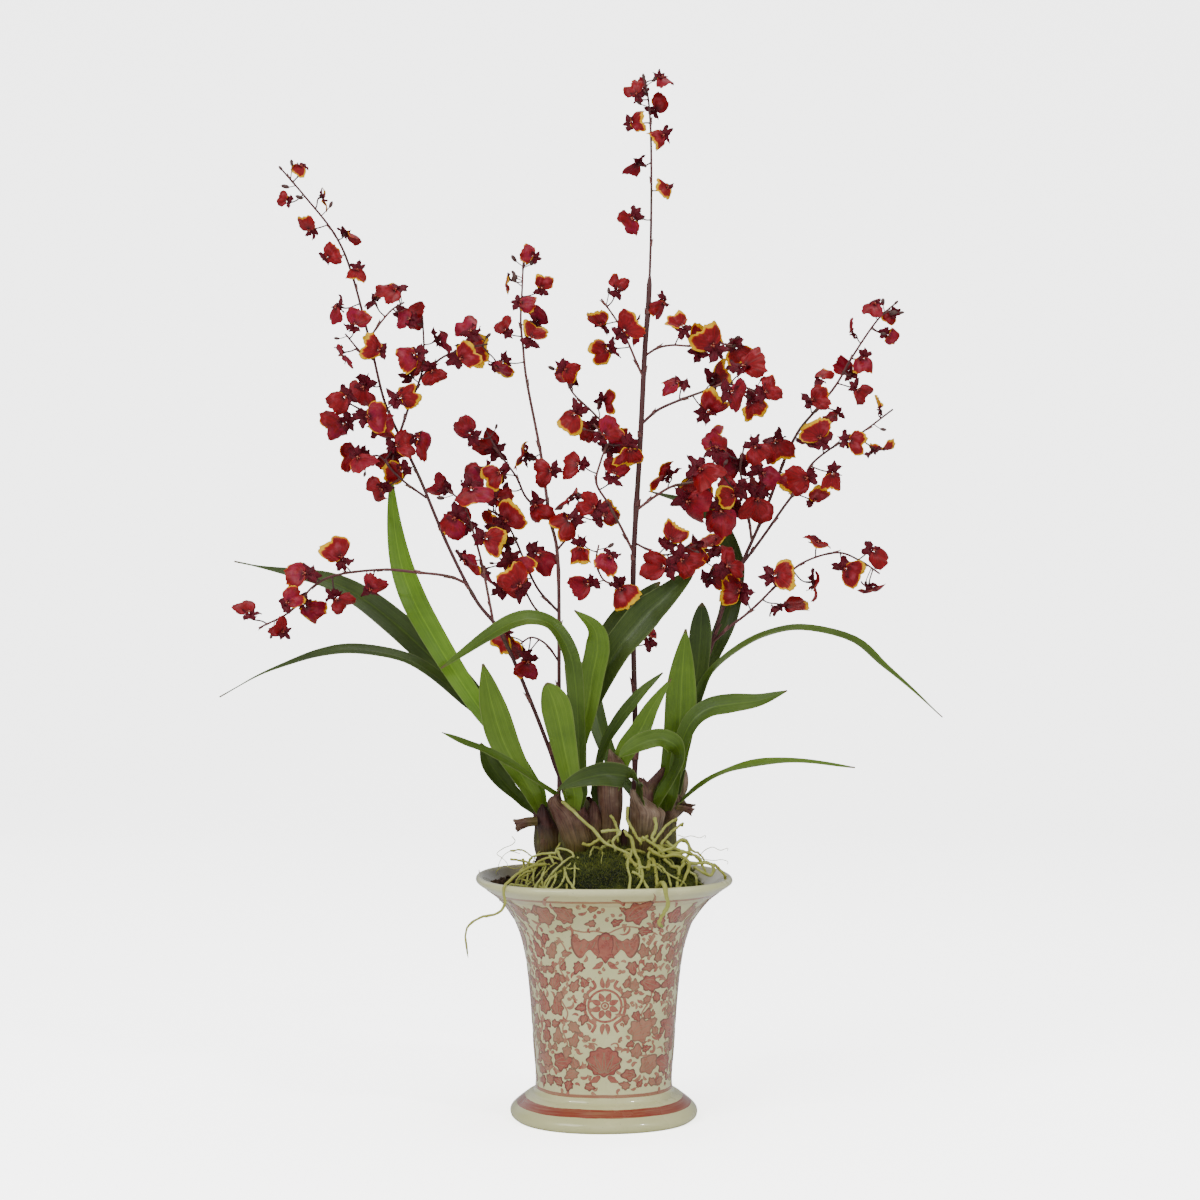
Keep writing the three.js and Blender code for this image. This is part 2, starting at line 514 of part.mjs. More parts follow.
// Outline of the right half of a bloom in units of its size, from the notch of the lip up: the
// corner and shoulder of the lip, the waist, a sepal, a petal, the dip over it and the top sepal.
// Each row is [across, up, forward].
const NOTCH = [0, -16.4, 0];
const TOP_SEPAL = [0, 10.5, -1.2];
const HALF = [
  [8.6, -19.4, -0.5], [13, -10, -0.6], [2.7, -3.6, 0], [7.4, -6.2, -1.2], [9.8, 4.6, -1.2], [2.4, 3.4, 0],
];
const STAR_MIDDLE = [0, 0, 1.8];
const LIP_MIDDLE = [0, -11, 1.6];
// Corners of the outline, counted from the notch to the right and round.
const [WAIST, DIP] = [3, 6];
const OTHER = (corner) => 2 * (HALF.length + 1) - corner;
const BACK_FACES = [
  [DIP, DIP + 1, OTHER(DIP)], [WAIST, 4, 5], [WAIST, 5, DIP], [OTHER(DIP), OTHER(5), OTHER(WAIST)],
  [OTHER(5), OTHER(4), OTHER(WAIST)], [WAIST, OTHER(DIP), OTHER(WAIST)], [OTHER(WAIST), OTHER(2), 0],
  [OTHER(2), OTHER(1), 0], [0, 1, 2], [0, 2, WAIST], [0, WAIST, OTHER(WAIST)],
];
const NECK = [WAIST, DIP, OTHER(DIP)]; // the back face that the pedicel grows from
const NECK_REACH = 5; // how far behind the bloom the pedicel turns towards its branch

// One bloom and its pedicel as a closed body: a star of sepals and petals, a two-lobed lip below
// it, and a thin three-sided stem from the back of the star to the branch.
function bloomSolid({ from, at, face, lip, size }) {
  const side = new THREE.Vector3().crossVectors(face, lip);
  const place = ([x, y, z]) => at.clone()
    .addScaledVector(side, x * size).addScaledVector(lip, -y * size).addScaledVector(face, z * size);
  const left = HALF.map(([x, y, z]) => [-x, y, z]).reverse();
  const outline = [NOTCH, ...HALF, TOP_SEPAL, ...left].map(place);
  const [star, lipMiddle] = [STAR_MIDDLE, LIP_MIDDLE].map(place);
  const corners = [star, lipMiddle, outline[WAIST], lipMiddle, star, outline[OTHER(WAIST)]];
  outline.forEach((p, i) => {
    const middle = i >= WAIST && i < OTHER(WAIST) ? star : lipMiddle;
    corners.push(middle, p, outline[(i + 1) % outline.length]);
  });
  for (const [a, b, c] of BACK_FACES) corners.push(outline[a], outline[c], outline[b]);

  const bend = at.clone().addScaledVector(face, -NECK_REACH * size);
  const along = from.clone().sub(bend).normalize();
  const neck = NECK.map((corner) => outline[corner]);
  const middle = neck[0].clone().add(neck[1]).add(neck[2]).divideScalar(3);
  const turned = new THREE.Quaternion().setFromUnitVectors(face.clone().negate(), along);
  const ring = (centre, share) => neck.map((p) => {
    const spoke = p.clone().sub(middle);
    spoke.addScaledVector(face, -spoke.dot(face)).normalize();
    spoke.applyQuaternion(new THREE.Quaternion().slerp(turned, share));
    return centre.clone().addScaledVector(spoke, PEDICEL_RADIUS);
  });
  const rings = [neck, ring(bend, 0.5), ring(from, 1)];
  for (const [near, far] of [[rings[0], rings[1]], [rings[1], rings[2]]]) {
    for (const [i, j] of [[0, 2], [2, 1], [1, 0]]) {
      corners.push(near[i], near[j], far[j], near[i], far[j], far[i]);
    }
  }
  corners.push(rings[2][0], rings[2][2], rings[2][1]);
  return solidOf(new THREE.BufferGeometry().setFromPoints(corners));
}

function budSolid(at, along, size) {
  const bud = new THREE.OctahedronGeometry(1).scale(1.9 * size, 1.9 * size, 3.8 * size);
  bud.applyQuaternion(new THREE.Quaternion().setFromUnitVectors(UP, along)).translate(at.x, at.y, at.z);
  return solidOf(bud);
}

// What blooms keep clear of, each with the radius of its own room.
const obstacles = [];

for (const entry of LEAVES) {
  for (const { at, half } of leafStations(entry)) obstacles.push({ at, room: half + LEAF_ROOM });
}
for (const [spike, { stalk, branches }] of Object.entries(SPIKES)) {
  for (const [, , route] of [stalk, ...branches]) {
    for (const [x, y, z] of route) {
      obstacles.push({ at: new THREE.Vector3(x, y, z), room: STEM_ROOM, spike, stem: true });
    }
  }
}

function clearance(middle, spike) {
  let least = Infinity;
  for (const { at, room, spike: owner, stem } of obstacles) {
    if (stem && owner === spike) continue;
    const away = at.distanceTo(middle) - (owner === spike ? OWN_ROOM : room);
    least = Math.min(least, away);
  }
  return least;
}

// The point and the direction at one station of a stem, whose stretches run straight between the
// points of its route.
function stemAt(route, t) {
  const i = Math.min(Math.floor(t * (route.length - 1)), route.length - 2);
  const [a, b] = [new THREE.Vector3(...route[i]), new THREE.Vector3(...route[i + 1])];
  const share = t * (route.length - 1) - i;
  return { from: a.clone().lerp(b, share), along: b.sub(a).normalize() };
}

// Where one bloom stands: the pedicel's end, the way the bloom faces and the way its lip hangs.
function placeBloom(route, t, turn, swing, drawn) {
  const { from, along } = stemAt(route, t);
  const lateral = new THREE.Vector3().crossVectors(along, FRONT).normalize();
  const depth = new THREE.Vector3().crossVectors(lateral, along);
  const angle = swing + turn;
  const out = lateral.clone().multiplyScalar(Math.cos(angle)).addScaledVector(depth, Math.sin(angle));
  const at = from.clone().addScaledVector(out, drawn.reach * 0.85)
    .addScaledVector(along, drawn.reach * 0.35).addScaledVector(UP, -drawn.reach * 0.12);
  const face = out.clone().multiplyScalar(0.6)
    .addScaledVector(FRONT, 0.9 - 1.1 * Math.max(0, out.y)).addScaledVector(along, drawn.tilt).normalize();
  const hang = out.clone().multiplyScalar(0.7).addScaledVector(UP, -0.8);
  const lip = hang.addScaledVector(face, -hang.dot(face)).normalize().applyAxisAngle(face, drawn.turn);
  return { from, at, face, lip, size: drawn.size };
}

function bloomsOn(route, runs, spike, draw) {
  const blooms = [];
  for (const [count, first, last, size] of runs) {
    for (let k = 0; k < count; k++) {
      const t = first + (last - first) * (k + 0.5) / count;
      const drawn = {
        reach: draw(...BLOOM_REACH),
        tilt: draw(-BLOOM_TILT, BLOOM_TILT),
        turn: draw(-LIP_TURN, LIP_TURN),
        size: size * draw(0.85, 1.12),
      };
      const swing = k % 2 ? draw(-0.9, 1.1) : Math.PI - draw(-0.9, 1.1);
      let best = null;
      let bestRoom = -Infinity;
      for (const [i, turn] of TURNS.entries()) {
        const stretched = { ...drawn, reach: drawn.reach * (1 + TURN_STRETCH * i) };
        const bloom = placeBloom(route, t, turn, swing, stretched);
        const middle = bloom.at.clone().addScaledVector(bloom.lip, BLOOM_MIDDLE * bloom.size);
        const room = clearance(middle, spike);
        if (room > bestRoom) [best, bestRoom] = [{ ...bloom, middle }, room];
        if (room > BLOOM_ROOM * drawn.size) break;
      }
      obstacles.push({ at: best.middle, room: OTHER_ROOM, spike });
      blooms.push(best);
    }
  }
  return blooms;
}

function budsOn(route, draw) {
  const [count, first, last] = BUDS;
  const solids = [];
  for (let k = 0; k < count; k++) {
    const t = first + (last - first) * k / (count - 1);
    const { from, along } = stemAt(route, t);
    const lateral = new THREE.Vector3().crossVectors(along, FRONT).normalize();
    const reach = k === count - 1 ? 0 : draw(6, 9);
    const sideways = lateral.multiplyScalar(k % 2 ? reach : -reach);
    const at = from.clone().add(sideways).addScaledVector(UP, reach * 0.6);
    if (reach) solids.push(pedicel(from, at));
    solids.push(budSolid(at, along, draw(0.85, 1.1)));
  }
  return solids;
}

function pedicel(from, to) {
  return bentRod(new THREE.LineCurve3(from, to), () => PEDICEL_RADIUS, 3, 1);
}

// A stem tapers from its base to its tip. The tall stalk is a stiff rod first, and thin from there.
function stemSolid([radius, , route], sides, rodEnd) {
  const taper = (t) => THREE.MathUtils.lerp(radius, TIP_RADIUS, t);
  const stepped = (t) => (t < rodEnd ? radius : TIP_RADIUS * 1.4);
  return bentRod(curveThrough(route), rodEnd ? stepped : taper, sides, route.length - 1);
}

function spray(name, { seed, stalk, branches }) {
  const draw = drawsFrom(seed);
  const solids = [stemSolid(stalk, STALK_SIDES, STALK_ROD_END[name])];
  for (const branch of branches) solids.push(stemSolid(branch, BRANCH_SIDES));
  for (const [, runs, route] of [stalk, ...branches]) {
    for (const bloom of bloomsOn(route, runs, name, draw)) solids.push(bloomSolid(bloom));
  }
  solids.push(...budsOn(stalk[2], draw));
  return joined(solids);
}

// The hole in the moss that a stalk stands in.
function stalkHole([radius, , route]) {
  const curve = new THREE.LineCurve3(new THREE.Vector3(...route[0]), new THREE.Vector3(...route[1]));
  const foot = curve.getPoint(-0.3);
  const top = curve.getPoint(1.2);
  return bentRod(new THREE.LineCurve3(foot, top), () => radius + STALK_HOLE, STALK_SIDES, 1);
}

// ---------------------------------------------------------------- the part

const materials = {
  porcelain: new THREE.MeshStandardMaterial({ color: 0xc9cbb0, roughness: 0.16, metalness: 0 }),
  soil: new THREE.MeshStandardMaterial({ color: 0x2c2118, roughness: 0.95, metalness: 0 }),
  moss: new THREE.MeshStandardMaterial({ color: 0x2f3f16, roughness: 0.95, metalness: 0 }),
  root: new THREE.MeshStandardMaterial({ color: 0xb9bd6b, roughness: 0.7, metalness: 0 }),
  bulb: new THREE.MeshStandardMaterial({ color: 0x6b6a3a, roughness: 0.6, metalness: 0 }),
  sheath: new THREE.MeshStandardMaterial({ color: 0x6f5550, roughness: 0.75, metalness: 0 }),
  leaf: new THREE.MeshStandardMaterial({ color: 0x4a6b25, roughness: 0.45, metalness: 0 }),
  bloom: new THREE.MeshStandardMaterial({ color: 0xa5141c, roughness: 0.6, metalness: 0 }),
};

const plant = new THREE.Group();

function place(name, solid, material) {
  const mesh = new THREE.Mesh(geometryOf(solid), material);
  mesh.name = name;
  plant.add(mesh);
}

place('pot', bowedLathe(POT_PROFILE, POT_SIDES), materials.porcelain);
place('soil', soil(), materials.soil);

const holes = [...BULBS.map(bulbSocket), ...Object.values(SPIKES).map(({ stalk }) => stalkHole(stalk))];
place('moss', moss(holes), materials.moss);

for (const [name, group] of Object.entries(ROOT_GROUPS)) place(name, rootGroup(group), materials.root);
BULBS.forEach((bulb, i) => place(`pseudobulb_${i + 1}`, bulbSolid(bulb), materials.bulb));
SHEATHS.forEach((entry, i) => place(`sheath_${i + 1}`, sheath(entry), materials.sheath));
LEAVES.forEach((entry, i) => place(`leaf_${String(i + 1).padStart(2, '0')}`, leaf(entry), materials.leaf));
for (const [name, spike] of Object.entries(SPIKES)) place(name, spray(name, spike), materials.bloom);

export default plant;
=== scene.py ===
# %% [markdown]
# # A potted oncidium orchid, finished in Blender
#
# The solid model gives every piece its place and size. This lesson loads it as a fixed frame and
# puts a finer surface over each solid: blooms with ruffled lips, leaves with veins, papery
# sheaths, tangled roots, moss and a glazed, painted pot. Lengths are worked out in millimetres,
# because plants are measured so, and turned into metres when a mesh is made.

import math
import random

import bpy
import numpy as np
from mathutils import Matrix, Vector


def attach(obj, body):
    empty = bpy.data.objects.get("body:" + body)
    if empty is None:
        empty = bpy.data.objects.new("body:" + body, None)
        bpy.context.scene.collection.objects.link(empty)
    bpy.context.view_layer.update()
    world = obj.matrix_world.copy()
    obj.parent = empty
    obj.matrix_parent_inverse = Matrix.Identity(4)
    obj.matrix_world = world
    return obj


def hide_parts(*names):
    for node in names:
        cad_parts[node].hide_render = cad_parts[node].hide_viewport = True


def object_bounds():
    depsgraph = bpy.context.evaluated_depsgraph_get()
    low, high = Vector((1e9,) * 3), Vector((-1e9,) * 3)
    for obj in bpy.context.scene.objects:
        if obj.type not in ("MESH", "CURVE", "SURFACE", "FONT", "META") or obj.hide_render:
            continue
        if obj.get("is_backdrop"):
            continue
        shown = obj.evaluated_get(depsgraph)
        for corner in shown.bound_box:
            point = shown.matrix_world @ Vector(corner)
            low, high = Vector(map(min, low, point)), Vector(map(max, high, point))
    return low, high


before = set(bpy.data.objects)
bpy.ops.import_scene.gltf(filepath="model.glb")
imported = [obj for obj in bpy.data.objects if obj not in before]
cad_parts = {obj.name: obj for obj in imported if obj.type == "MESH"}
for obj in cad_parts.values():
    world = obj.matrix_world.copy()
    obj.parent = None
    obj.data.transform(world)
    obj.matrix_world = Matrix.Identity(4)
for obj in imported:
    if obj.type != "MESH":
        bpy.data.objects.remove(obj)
cad_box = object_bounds()
MM = 0.001
print("solid pieces:", len(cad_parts))

# %% [markdown]
# ## Camera
# A plant this tall is best shown from a little below its middle with a longer lens, so that
# upright stalks stay parallel. The camera is level and looks along +Y, which keeps verticals
# vertical; a shorter lens nearer by would splay the stalks.

# %% Set the camera up
CAMERA_PLACE = (-0.003, -1.96, 0.412)
CAMERA_LENS = 73.5

camera_data = bpy.data.cameras.new("camera")
camera_data.lens = CAMERA_LENS
camera_data.sensor_width = 36
camera = bpy.data.objects.new("camera", camera_data)
camera.location = CAMERA_PLACE
camera.rotation_euler = (math.radians(90), 0, 0)
bpy.context.scene.collection.objects.link(camera)
bpy.context.scene.camera = camera
print("camera", CAMERA_PLACE, "lens", CAMERA_LENS)

# %% [markdown]
# ## Small tools for finishes
# A finish is a material whose look is worked out by a tree of nodes. What comes out of a node is
# wrapped here as a signal that can be added, multiplied and compared like a number, so that each
# finish below reads as a recipe: a colour from a pattern, then its gloss, then its fine relief.

# %% Signals and the sums that can be done with them
def node(tree, kind, **settings):
    made = tree.nodes.new("ShaderNode" + kind)
    for key, value in settings.items():
        setattr(made, key, value)
    return made


class Signal:
    """What comes out of a node. A sum with a signal adds a Math node to its tree."""

    def __init__(self, socket):
        self.socket, self.tree = socket, socket.id_data

    def worked(self, kind, operation, *others):
        made = node(self.tree, kind, operation=operation)
        for value, socket in zip((self, *others), made.inputs):
            feed(value, socket)
        return Signal(made.outputs[0])

    def __add__(self, other):
        return self.worked("Math", "ADD", other)

    def __sub__(self, other):
        return self.worked("Math", "SUBTRACT", other)

    def __mul__(self, other):
        return self.worked("Math", "MULTIPLY", other)

    def __lt__(self, other):
        return self.worked("Math", "LESS_THAN", other)

    def __abs__(self):
        return self.worked("Math", "ABSOLUTE")

    def fraction(self):
        return self.worked("Math", "FRACT")

    def moved(self, by):
        """A place moved along all its axes."""
        return self.worked("VectorMath", "ADD", by)

    def scaled(self, scale):
        mapping = node(self.tree, "Mapping")
        feed(self, mapping.inputs["Vector"])
        feed(scale, mapping.inputs["Scale"])
        return Signal(mapping.outputs["Vector"])

    def axis(self, name):
        split = node(self.tree, "SeparateXYZ")
        feed(self, split.inputs[0])
        return Signal(split.outputs[name])


def feed(value, socket):
    """Links a signal to a socket, or sets the socket to a plain value."""
    if isinstance(value, Signal):
        socket.id_data.links.new(value.socket, socket)
    else:
        socket.default_value = value

# %% Patterns, ramps and blends
def colour_of(value):
    """Red, green, blue and alpha from three numbers, or from one number for a grey."""
    return (value, value, value, 1) if isinstance(value, (int, float)) else (*value, 1)


def noise(place, scale, detail=4, roughness=0.55):
    made = node(place.tree, "TexNoise")
    for name, value in {"Vector": place, "Scale": scale, "Detail": detail, "Roughness": roughness}.items():
        feed(value, made.inputs[name])
    return Signal(made.outputs["Fac"])


def ramp(factor, stops):
    """A colour ramp. Each stop is a position with a colour or a grey."""
    made = node(factor.tree, "ValToRGB")
    elements = made.color_ramp.elements
    while len(elements) < len(stops):
        elements.new(0.5)
    for element, (position, value) in zip(elements, stops):
        element.position = position
        element.color = colour_of(value)
    feed(factor, made.inputs["Fac"])
    return Signal(made.outputs["Color"])


def blended(factor, a, b):
    """Colour a where the factor is 0, and b where it is 1."""
    made = node(factor.tree, "Mix", data_type="RGBA")
    feed(factor, made.inputs["Factor"])
    feed(a if isinstance(a, Signal) else colour_of(a), made.inputs["A"])
    feed(b if isinstance(b, Signal) else colour_of(b), made.inputs["B"])
    return Signal(made.outputs["Result"])

# %% A finish and the signals that its recipe starts from
class Finish:
    def __init__(self, name):
        self.material = bpy.data.materials.new(name)
        self.material.use_nodes = True
        self.tree = self.material.node_tree
        self.shader = self.tree.nodes["Principled BSDF"]

    def place(self):
        """Where a point lies in the whole object, in metres."""
        return Signal(node(self.tree, "TexCoord").outputs["Object"])

    def local(self):
        """Where a point lies on its own blade or rod: X across or round it, Y along it."""
        return Signal(node(self.tree, "UVMap", uv_map="local").outputs["UV"])

    def mood(self):
        """The number from 0 to 1 that sets one blade, rod or stroke off from the next."""
        return Signal(node(self.tree, "Attribute", attribute_name="mood").outputs["Fac"])

    def done(self, colour, roughness, relief=None, others=None):
        """Feeds the shader. Relief is a signal with its strength and its depth in metres."""
        for name, value in {"Base Color": colour, "Roughness": roughness, **(others or {})}.items():
            feed(value, self.shader.inputs[name])
        if relief:
            bump = node(self.tree, "Bump")
            for name, value in zip(("Height", "Strength", "Distance"), relief):
                feed(value, bump.inputs[name])
            feed(Signal(bump.outputs["Normal"]), self.shader.inputs["Normal"])
        return self.material

# %% [markdown]
# ## Floor, backdrop and light
# A plain pale floor runs back and up into a wall in one sweep, as paper does in a studio, so no
# horizon crosses behind the stalks. In a studio the paper has lamps of its own, so that it comes
# out nearly white while the plant is lit gently. Here the Light Path node does that: a ray
# straight from the camera meets a brighter paper than the rays that light the plant. Large soft
# lamps stand in for softboxes: a key from the front left, a fill from the right, one above and a
# weak one behind. Two small ones at the sides put glints on the glaze and the leaves.

# %% Make the sweep of backdrop paper
FLOOR_WIDTH = 9.0
FLOOR_FRONT = -4.0
FLOOR_BACK = 2.4
SWEEP_RADIUS = 1.2
WALL_TOP = 5.0
PAPER_GAIN = 3.2
PAPER_GLOW = 2.6


def backdrop():
    profile = [(FLOOR_FRONT, 0.0), (FLOOR_BACK, 0.0)]
    for k in range(1, 13):
        angle = math.radians(90 * k / 12)
        profile.append((FLOOR_BACK + SWEEP_RADIUS * math.sin(angle), SWEEP_RADIUS * (1 - math.cos(angle))))
    profile.append((FLOOR_BACK + SWEEP_RADIUS, WALL_TOP))
    half = FLOOR_WIDTH / 2
    points = [(x, y, z) for y, z in profile for x in (-half, half)]
    faces = [(2 * i, 2 * i + 1, 2 * i + 3, 2 * i + 2) for i in range(len(profile) - 1)]
    mesh = bpy.data.meshes.new("backdrop")
    mesh.from_pydata(points, [], faces)
    mesh.shade_smooth()
    made = bpy.data.objects.new("backdrop", mesh)
    bpy.context.scene.collection.objects.link(made)
    return made


paper = Finish("backdrop paper")
grain = noise(paper.place(), 60)
paper.done(ramp(grain, [(0.3, (0.79, 0.79, 0.785)), (0.7, (0.81, 0.81, 0.805))]), 0.9,
           others={"Specular IOR Level": 0.1})
lit, glow, both, choice = (node(paper.tree, kind)
                           for kind in ("BsdfDiffuse", "Emission", "AddShader", "MixShader"))
feed(colour_of(PAPER_GAIN), lit.inputs["Color"])
feed(PAPER_GLOW, glow.inputs["Strength"])
seen = node(paper.tree, "LightPath").outputs["Is Camera Ray"]
for output, socket in ((lit.outputs[0], both.inputs[0]), (glow.outputs[0], both.inputs[1]),
                       (seen, choice.inputs[0]), (paper.shader.outputs[0], choice.inputs[1]),
                       (both.outputs[0], choice.inputs[2]),
                       (choice.outputs[0], paper.tree.nodes["Material Output"].inputs["Surface"])):
    paper.tree.links.new(output, socket)
floor = backdrop()
floor.data.materials.append(paper.material)
floor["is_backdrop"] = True
print("backdrop", FLOOR_WIDTH, "m wide")

# %% Hang the lamps
LAMPS = [
    # name, place, size in metres, watts
    ("key", (-1.5, -1.9, 1.9), 1.3, 26),
    ("fill", (1.9, -1.6, 1.1), 1.6, 6),
    ("top", (0.1, 0.2, 2.4), 1.2, 14),
    ("front", (0.1, -2.6, 0.7), 1.2, 3),
    ("left spot", (-1.5, -1.1, 1.4), 0.12, 3.5),
    ("right spot", (1.4, -1.4, 1.5), 0.14, 8),
    ("behind", (-0.9, 2.1, 1.5), 2.0, 3.5),
]
LAMP_AIM = np.array([0.0, 0.0, 0.42])
ROOM_LIGHT = 0.32
ROOM_SEEN = 4.5


def lamp(name, place, size, watts):
    data = bpy.data.lights.new(name, "AREA")
    data.size = size
    data.energy = watts
    made = bpy.data.objects.new(name, data)
    made.location = place
    towards = LAMP_AIM - np.array(place)
    pitch = math.atan2(math.hypot(towards[0], towards[1]), -towards[2])
    made.rotation_euler = (pitch, 0, math.atan2(towards[1], towards[0]) - math.pi / 2)
    bpy.context.scene.collection.objects.link(made)


for entry in LAMPS:
    lamp(*entry)

world = bpy.data.worlds.new("room light")
world.use_nodes = True
room = world.node_tree.nodes["Background"]
feed(colour_of((1, 0.995, 0.985)), room.inputs["Color"])
seen = Signal(node(world.node_tree, "LightPath").outputs["Is Camera Ray"])
feed(seen * ROOM_SEEN + ROOM_LIGHT, room.inputs["Strength"])
bpy.context.scene.world = world
print("lamps:", [entry[0] for entry in LAMPS])

# %% [markdown]
# ## Small tools for shapes
# A plant is made of two kinds of shape: thin sheets (leaves, petals, sheaths) and round rods
# (stalks, roots). A sheet starts as a grid of points and gets a back face and a rim, so that it is
# closed like a real blade. A rod is a ring of points carried along a curve. A heap gathers the
# sheets and rods of one piece, with the finish that each face takes and two maps: one local map
# that patterns are drawn on, and one that gives every kind of petal its own cell of the picture.

# %% Seeded draws and vectors
def draws_from(seed):
    """The same little series of draws as the solid model uses, so that both agree."""
    state = seed

    def draw(low=0.0, high=1.0):
        nonlocal state
        state = state * 16807 % 2147483647
        return low + (high - low) * (state / 2147483647)

    return draw


def vector(*numbers):
    return np.array(numbers, float)


UP = vector(0, 0, 1)


def unit(v):
    return v / np.linalg.norm(v)


def units(rows):
    return rows / np.maximum(np.linalg.norm(rows, axis=-1, keepdims=True), 1e-12)


def turned(v, axis, angle):
    """v turned about an axis of length 1."""
    return (v * math.cos(angle) + np.cross(axis, v) * math.sin(angle)
            + axis * (axis @ v) * (1 - math.cos(angle)))


def smooth_step(x, low=0.0, high=1.0):
    t = np.clip((np.asarray(x, float) - low) / (high - low), 0, 1)
    return t * t * (3 - 2 * t)

# %% Curves through points
def curve_points(route, stations):
    """Points on a smooth curve through the route, at stations from 0 to 1."""
    route = np.asarray(route, float)
    last = len(route) - 1
    padded = np.vstack([2 * route[0] - route[1], route, 2 * route[-1] - route[-2]])
    at = np.clip(np.atleast_1d(stations), 0, 1) * last
    first = np.minimum(at.astype(int), last - 1)
    w = (at - first)[:, None]
    p0, p1, p2, p3 = (padded[first + k] for k in range(4))
    t0, t1 = (p2 - p0) / 2, (p3 - p1) / 2
    return p1 + t0 * w + (3 * p2 - 3 * p1 - 2 * t0 - t1) * w**2 + (2 * p1 - 2 * p2 + t0 + t1) * w**3


def directions(points):
    return units(np.gradient(points, axis=0))


def circle(count):
    """Evenly spaced angles, once round."""
    return np.arange(count) * 2 * math.pi / count


def stacked(*axes):
    """Points from their axes, each of which may be a number, a row or a grid."""
    return np.stack(np.broadcast_arrays(*axes), -1)

# %% Faces and map of a stack of rings
def ring_faces(rows, columns):
    """The walls between rings of points, and a cap on the first and the last ring."""
    index = np.arange(rows * columns).reshape(rows, columns)
    right = np.roll(index, -1, axis=1)
    walls = np.stack([index[:-1], right[:-1], right[1:], index[1:]], -1).reshape(-1, 4).tolist()
    return walls + [index[0, ::-1].tolist(), index[-1].tolist()]


def even_map(rows, columns):
    v, u = np.mgrid[0:1:rows * 1j, 0:1:columns * 1j]
    return np.stack([u.ravel(), v.ravel()], -1)

# %% A heap of sheets and rods that becomes one piece
class Heap:
    def __init__(self):
        self.points, self.faces, self.finishes = [], [], []
        self.local, self.cells, self.moods = [], [], []
        self.count = 0

    def add(self, points, faces, local, finish=0, cell=(0, 0, 1, 1), mood=0.5):
        """points and local are per vertex. cell is the place of this kind of petal in the picture."""
        local = np.asarray(local, float)
        x0, y0, x1, y1 = cell
        self.points.append(points)
        self.faces.extend([tuple(int(i) + self.count for i in f) for f in faces])
        self.finishes.extend([finish] * len(faces))
        self.local.append(local)
        self.cells.append(local * [x1 - x0, y1 - y0] + [x0, y0])
        self.moods.append(np.full(len(points), mood))
        self.count += len(points)

    def add_rings(self, grid, local=None, **settings):
        """A grid of points whose rows are rings, closed at both ends."""
        rows, columns = grid.shape[:2]
        local = even_map(rows, columns) if local is None else local
        self.add(grid.reshape(-1, 3), ring_faces(rows, columns), local, **settings)

    def build(self, name, finishes, crease=50):
        points = np.concatenate(self.points) * MM
        mesh = bpy.data.meshes.new(name)
        mesh.from_pydata(points.tolist(), [], self.faces)
        corners = np.zeros(len(mesh.loops), np.int32)
        mesh.loops.foreach_get("vertex_index", corners)
        for layer, rows in (("OFBake", self.cells), ("local", self.local)):
            uvs = np.concatenate(rows)[corners].astype(np.float32)
            mesh.uv_layers.new(name=layer).data.foreach_set("uv", uvs.ravel())
        moods = mesh.attributes.new("mood", "FLOAT", "POINT")
        moods.data.foreach_set("value", np.concatenate(self.moods).astype(np.float32))
        for finish in finishes:
            mesh.materials.append(finish)
        mesh.polygons.foreach_set("material_index", np.array(self.finishes, np.int32))
        mesh.shade_smooth()
        mesh.set_sharp_from_angle(angle=math.radians(crease))
        made = bpy.data.objects.new(name, mesh)
        bpy.context.scene.collection.objects.link(made)
        print(f"{name}: {sum(len(f) - 2 for f in self.faces)} triangles")
        return made


def settle(piece, slot, *nodes):
    """Tells the frame what a piece rides on and what it stands for. The slot is not used."""
    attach(piece, "root")
    if nodes:
        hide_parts(*nodes)

# %% A closed sheet, and a round rod
def sheet(grid, thickness):
    """Points, faces and map of a blade: a front, a back and a rim between them."""
    rows, columns = grid.shape[:2]
    down = np.gradient(grid, axis=0)
    over = np.gradient(grid, axis=1)
    normal = units(np.cross(over, down))
    depth = np.broadcast_to(np.asarray(thickness, float), (rows, columns))[..., None] / 2
    points = np.concatenate([(grid + normal * depth).reshape(-1, 3), (grid - normal * depth).reshape(-1, 3)])
    back = rows * columns
    index = np.arange(back).reshape(rows, columns)
    a, b, c, d = index[:-1, :-1], index[:-1, 1:], index[1:, 1:], index[1:, :-1]
    front = np.stack([a, b, c, d], -1).reshape(-1, 4)
    faces = [front, front[:, ::-1] + back]
    ring = np.concatenate([index[0, :-1], index[:-1, -1], index[-1, :0:-1], index[:0:-1, 0]])
    after = np.roll(ring, -1)
    faces.append(np.stack([ring, ring + back, after + back, after], -1))
    return points, np.concatenate(faces), np.tile(even_map(rows, columns), (2, 1))


def rod(points, radii, sides=8, start=vector(0.6, -0.8, 0.01)):
    """Points, faces and map of a rod. Its radii give its taper and round its ends."""
    points = np.asarray(points, float)
    steps = len(points)
    radii = np.broadcast_to(np.asarray(radii, float), (steps,))
    across = start
    rings = []
    cosines, sines = np.cos(circle(sides))[:, None], np.sin(circle(sides))[:, None]
    for point, along, radius in zip(points, directions(points), radii):
        across = unit(across - along * (across @ along))
        rings.append(point + radius * (cosines * across + sines * np.cross(along, across)))
    return np.concatenate(rings), ring_faces(steps, sides), even_map(steps, sides)


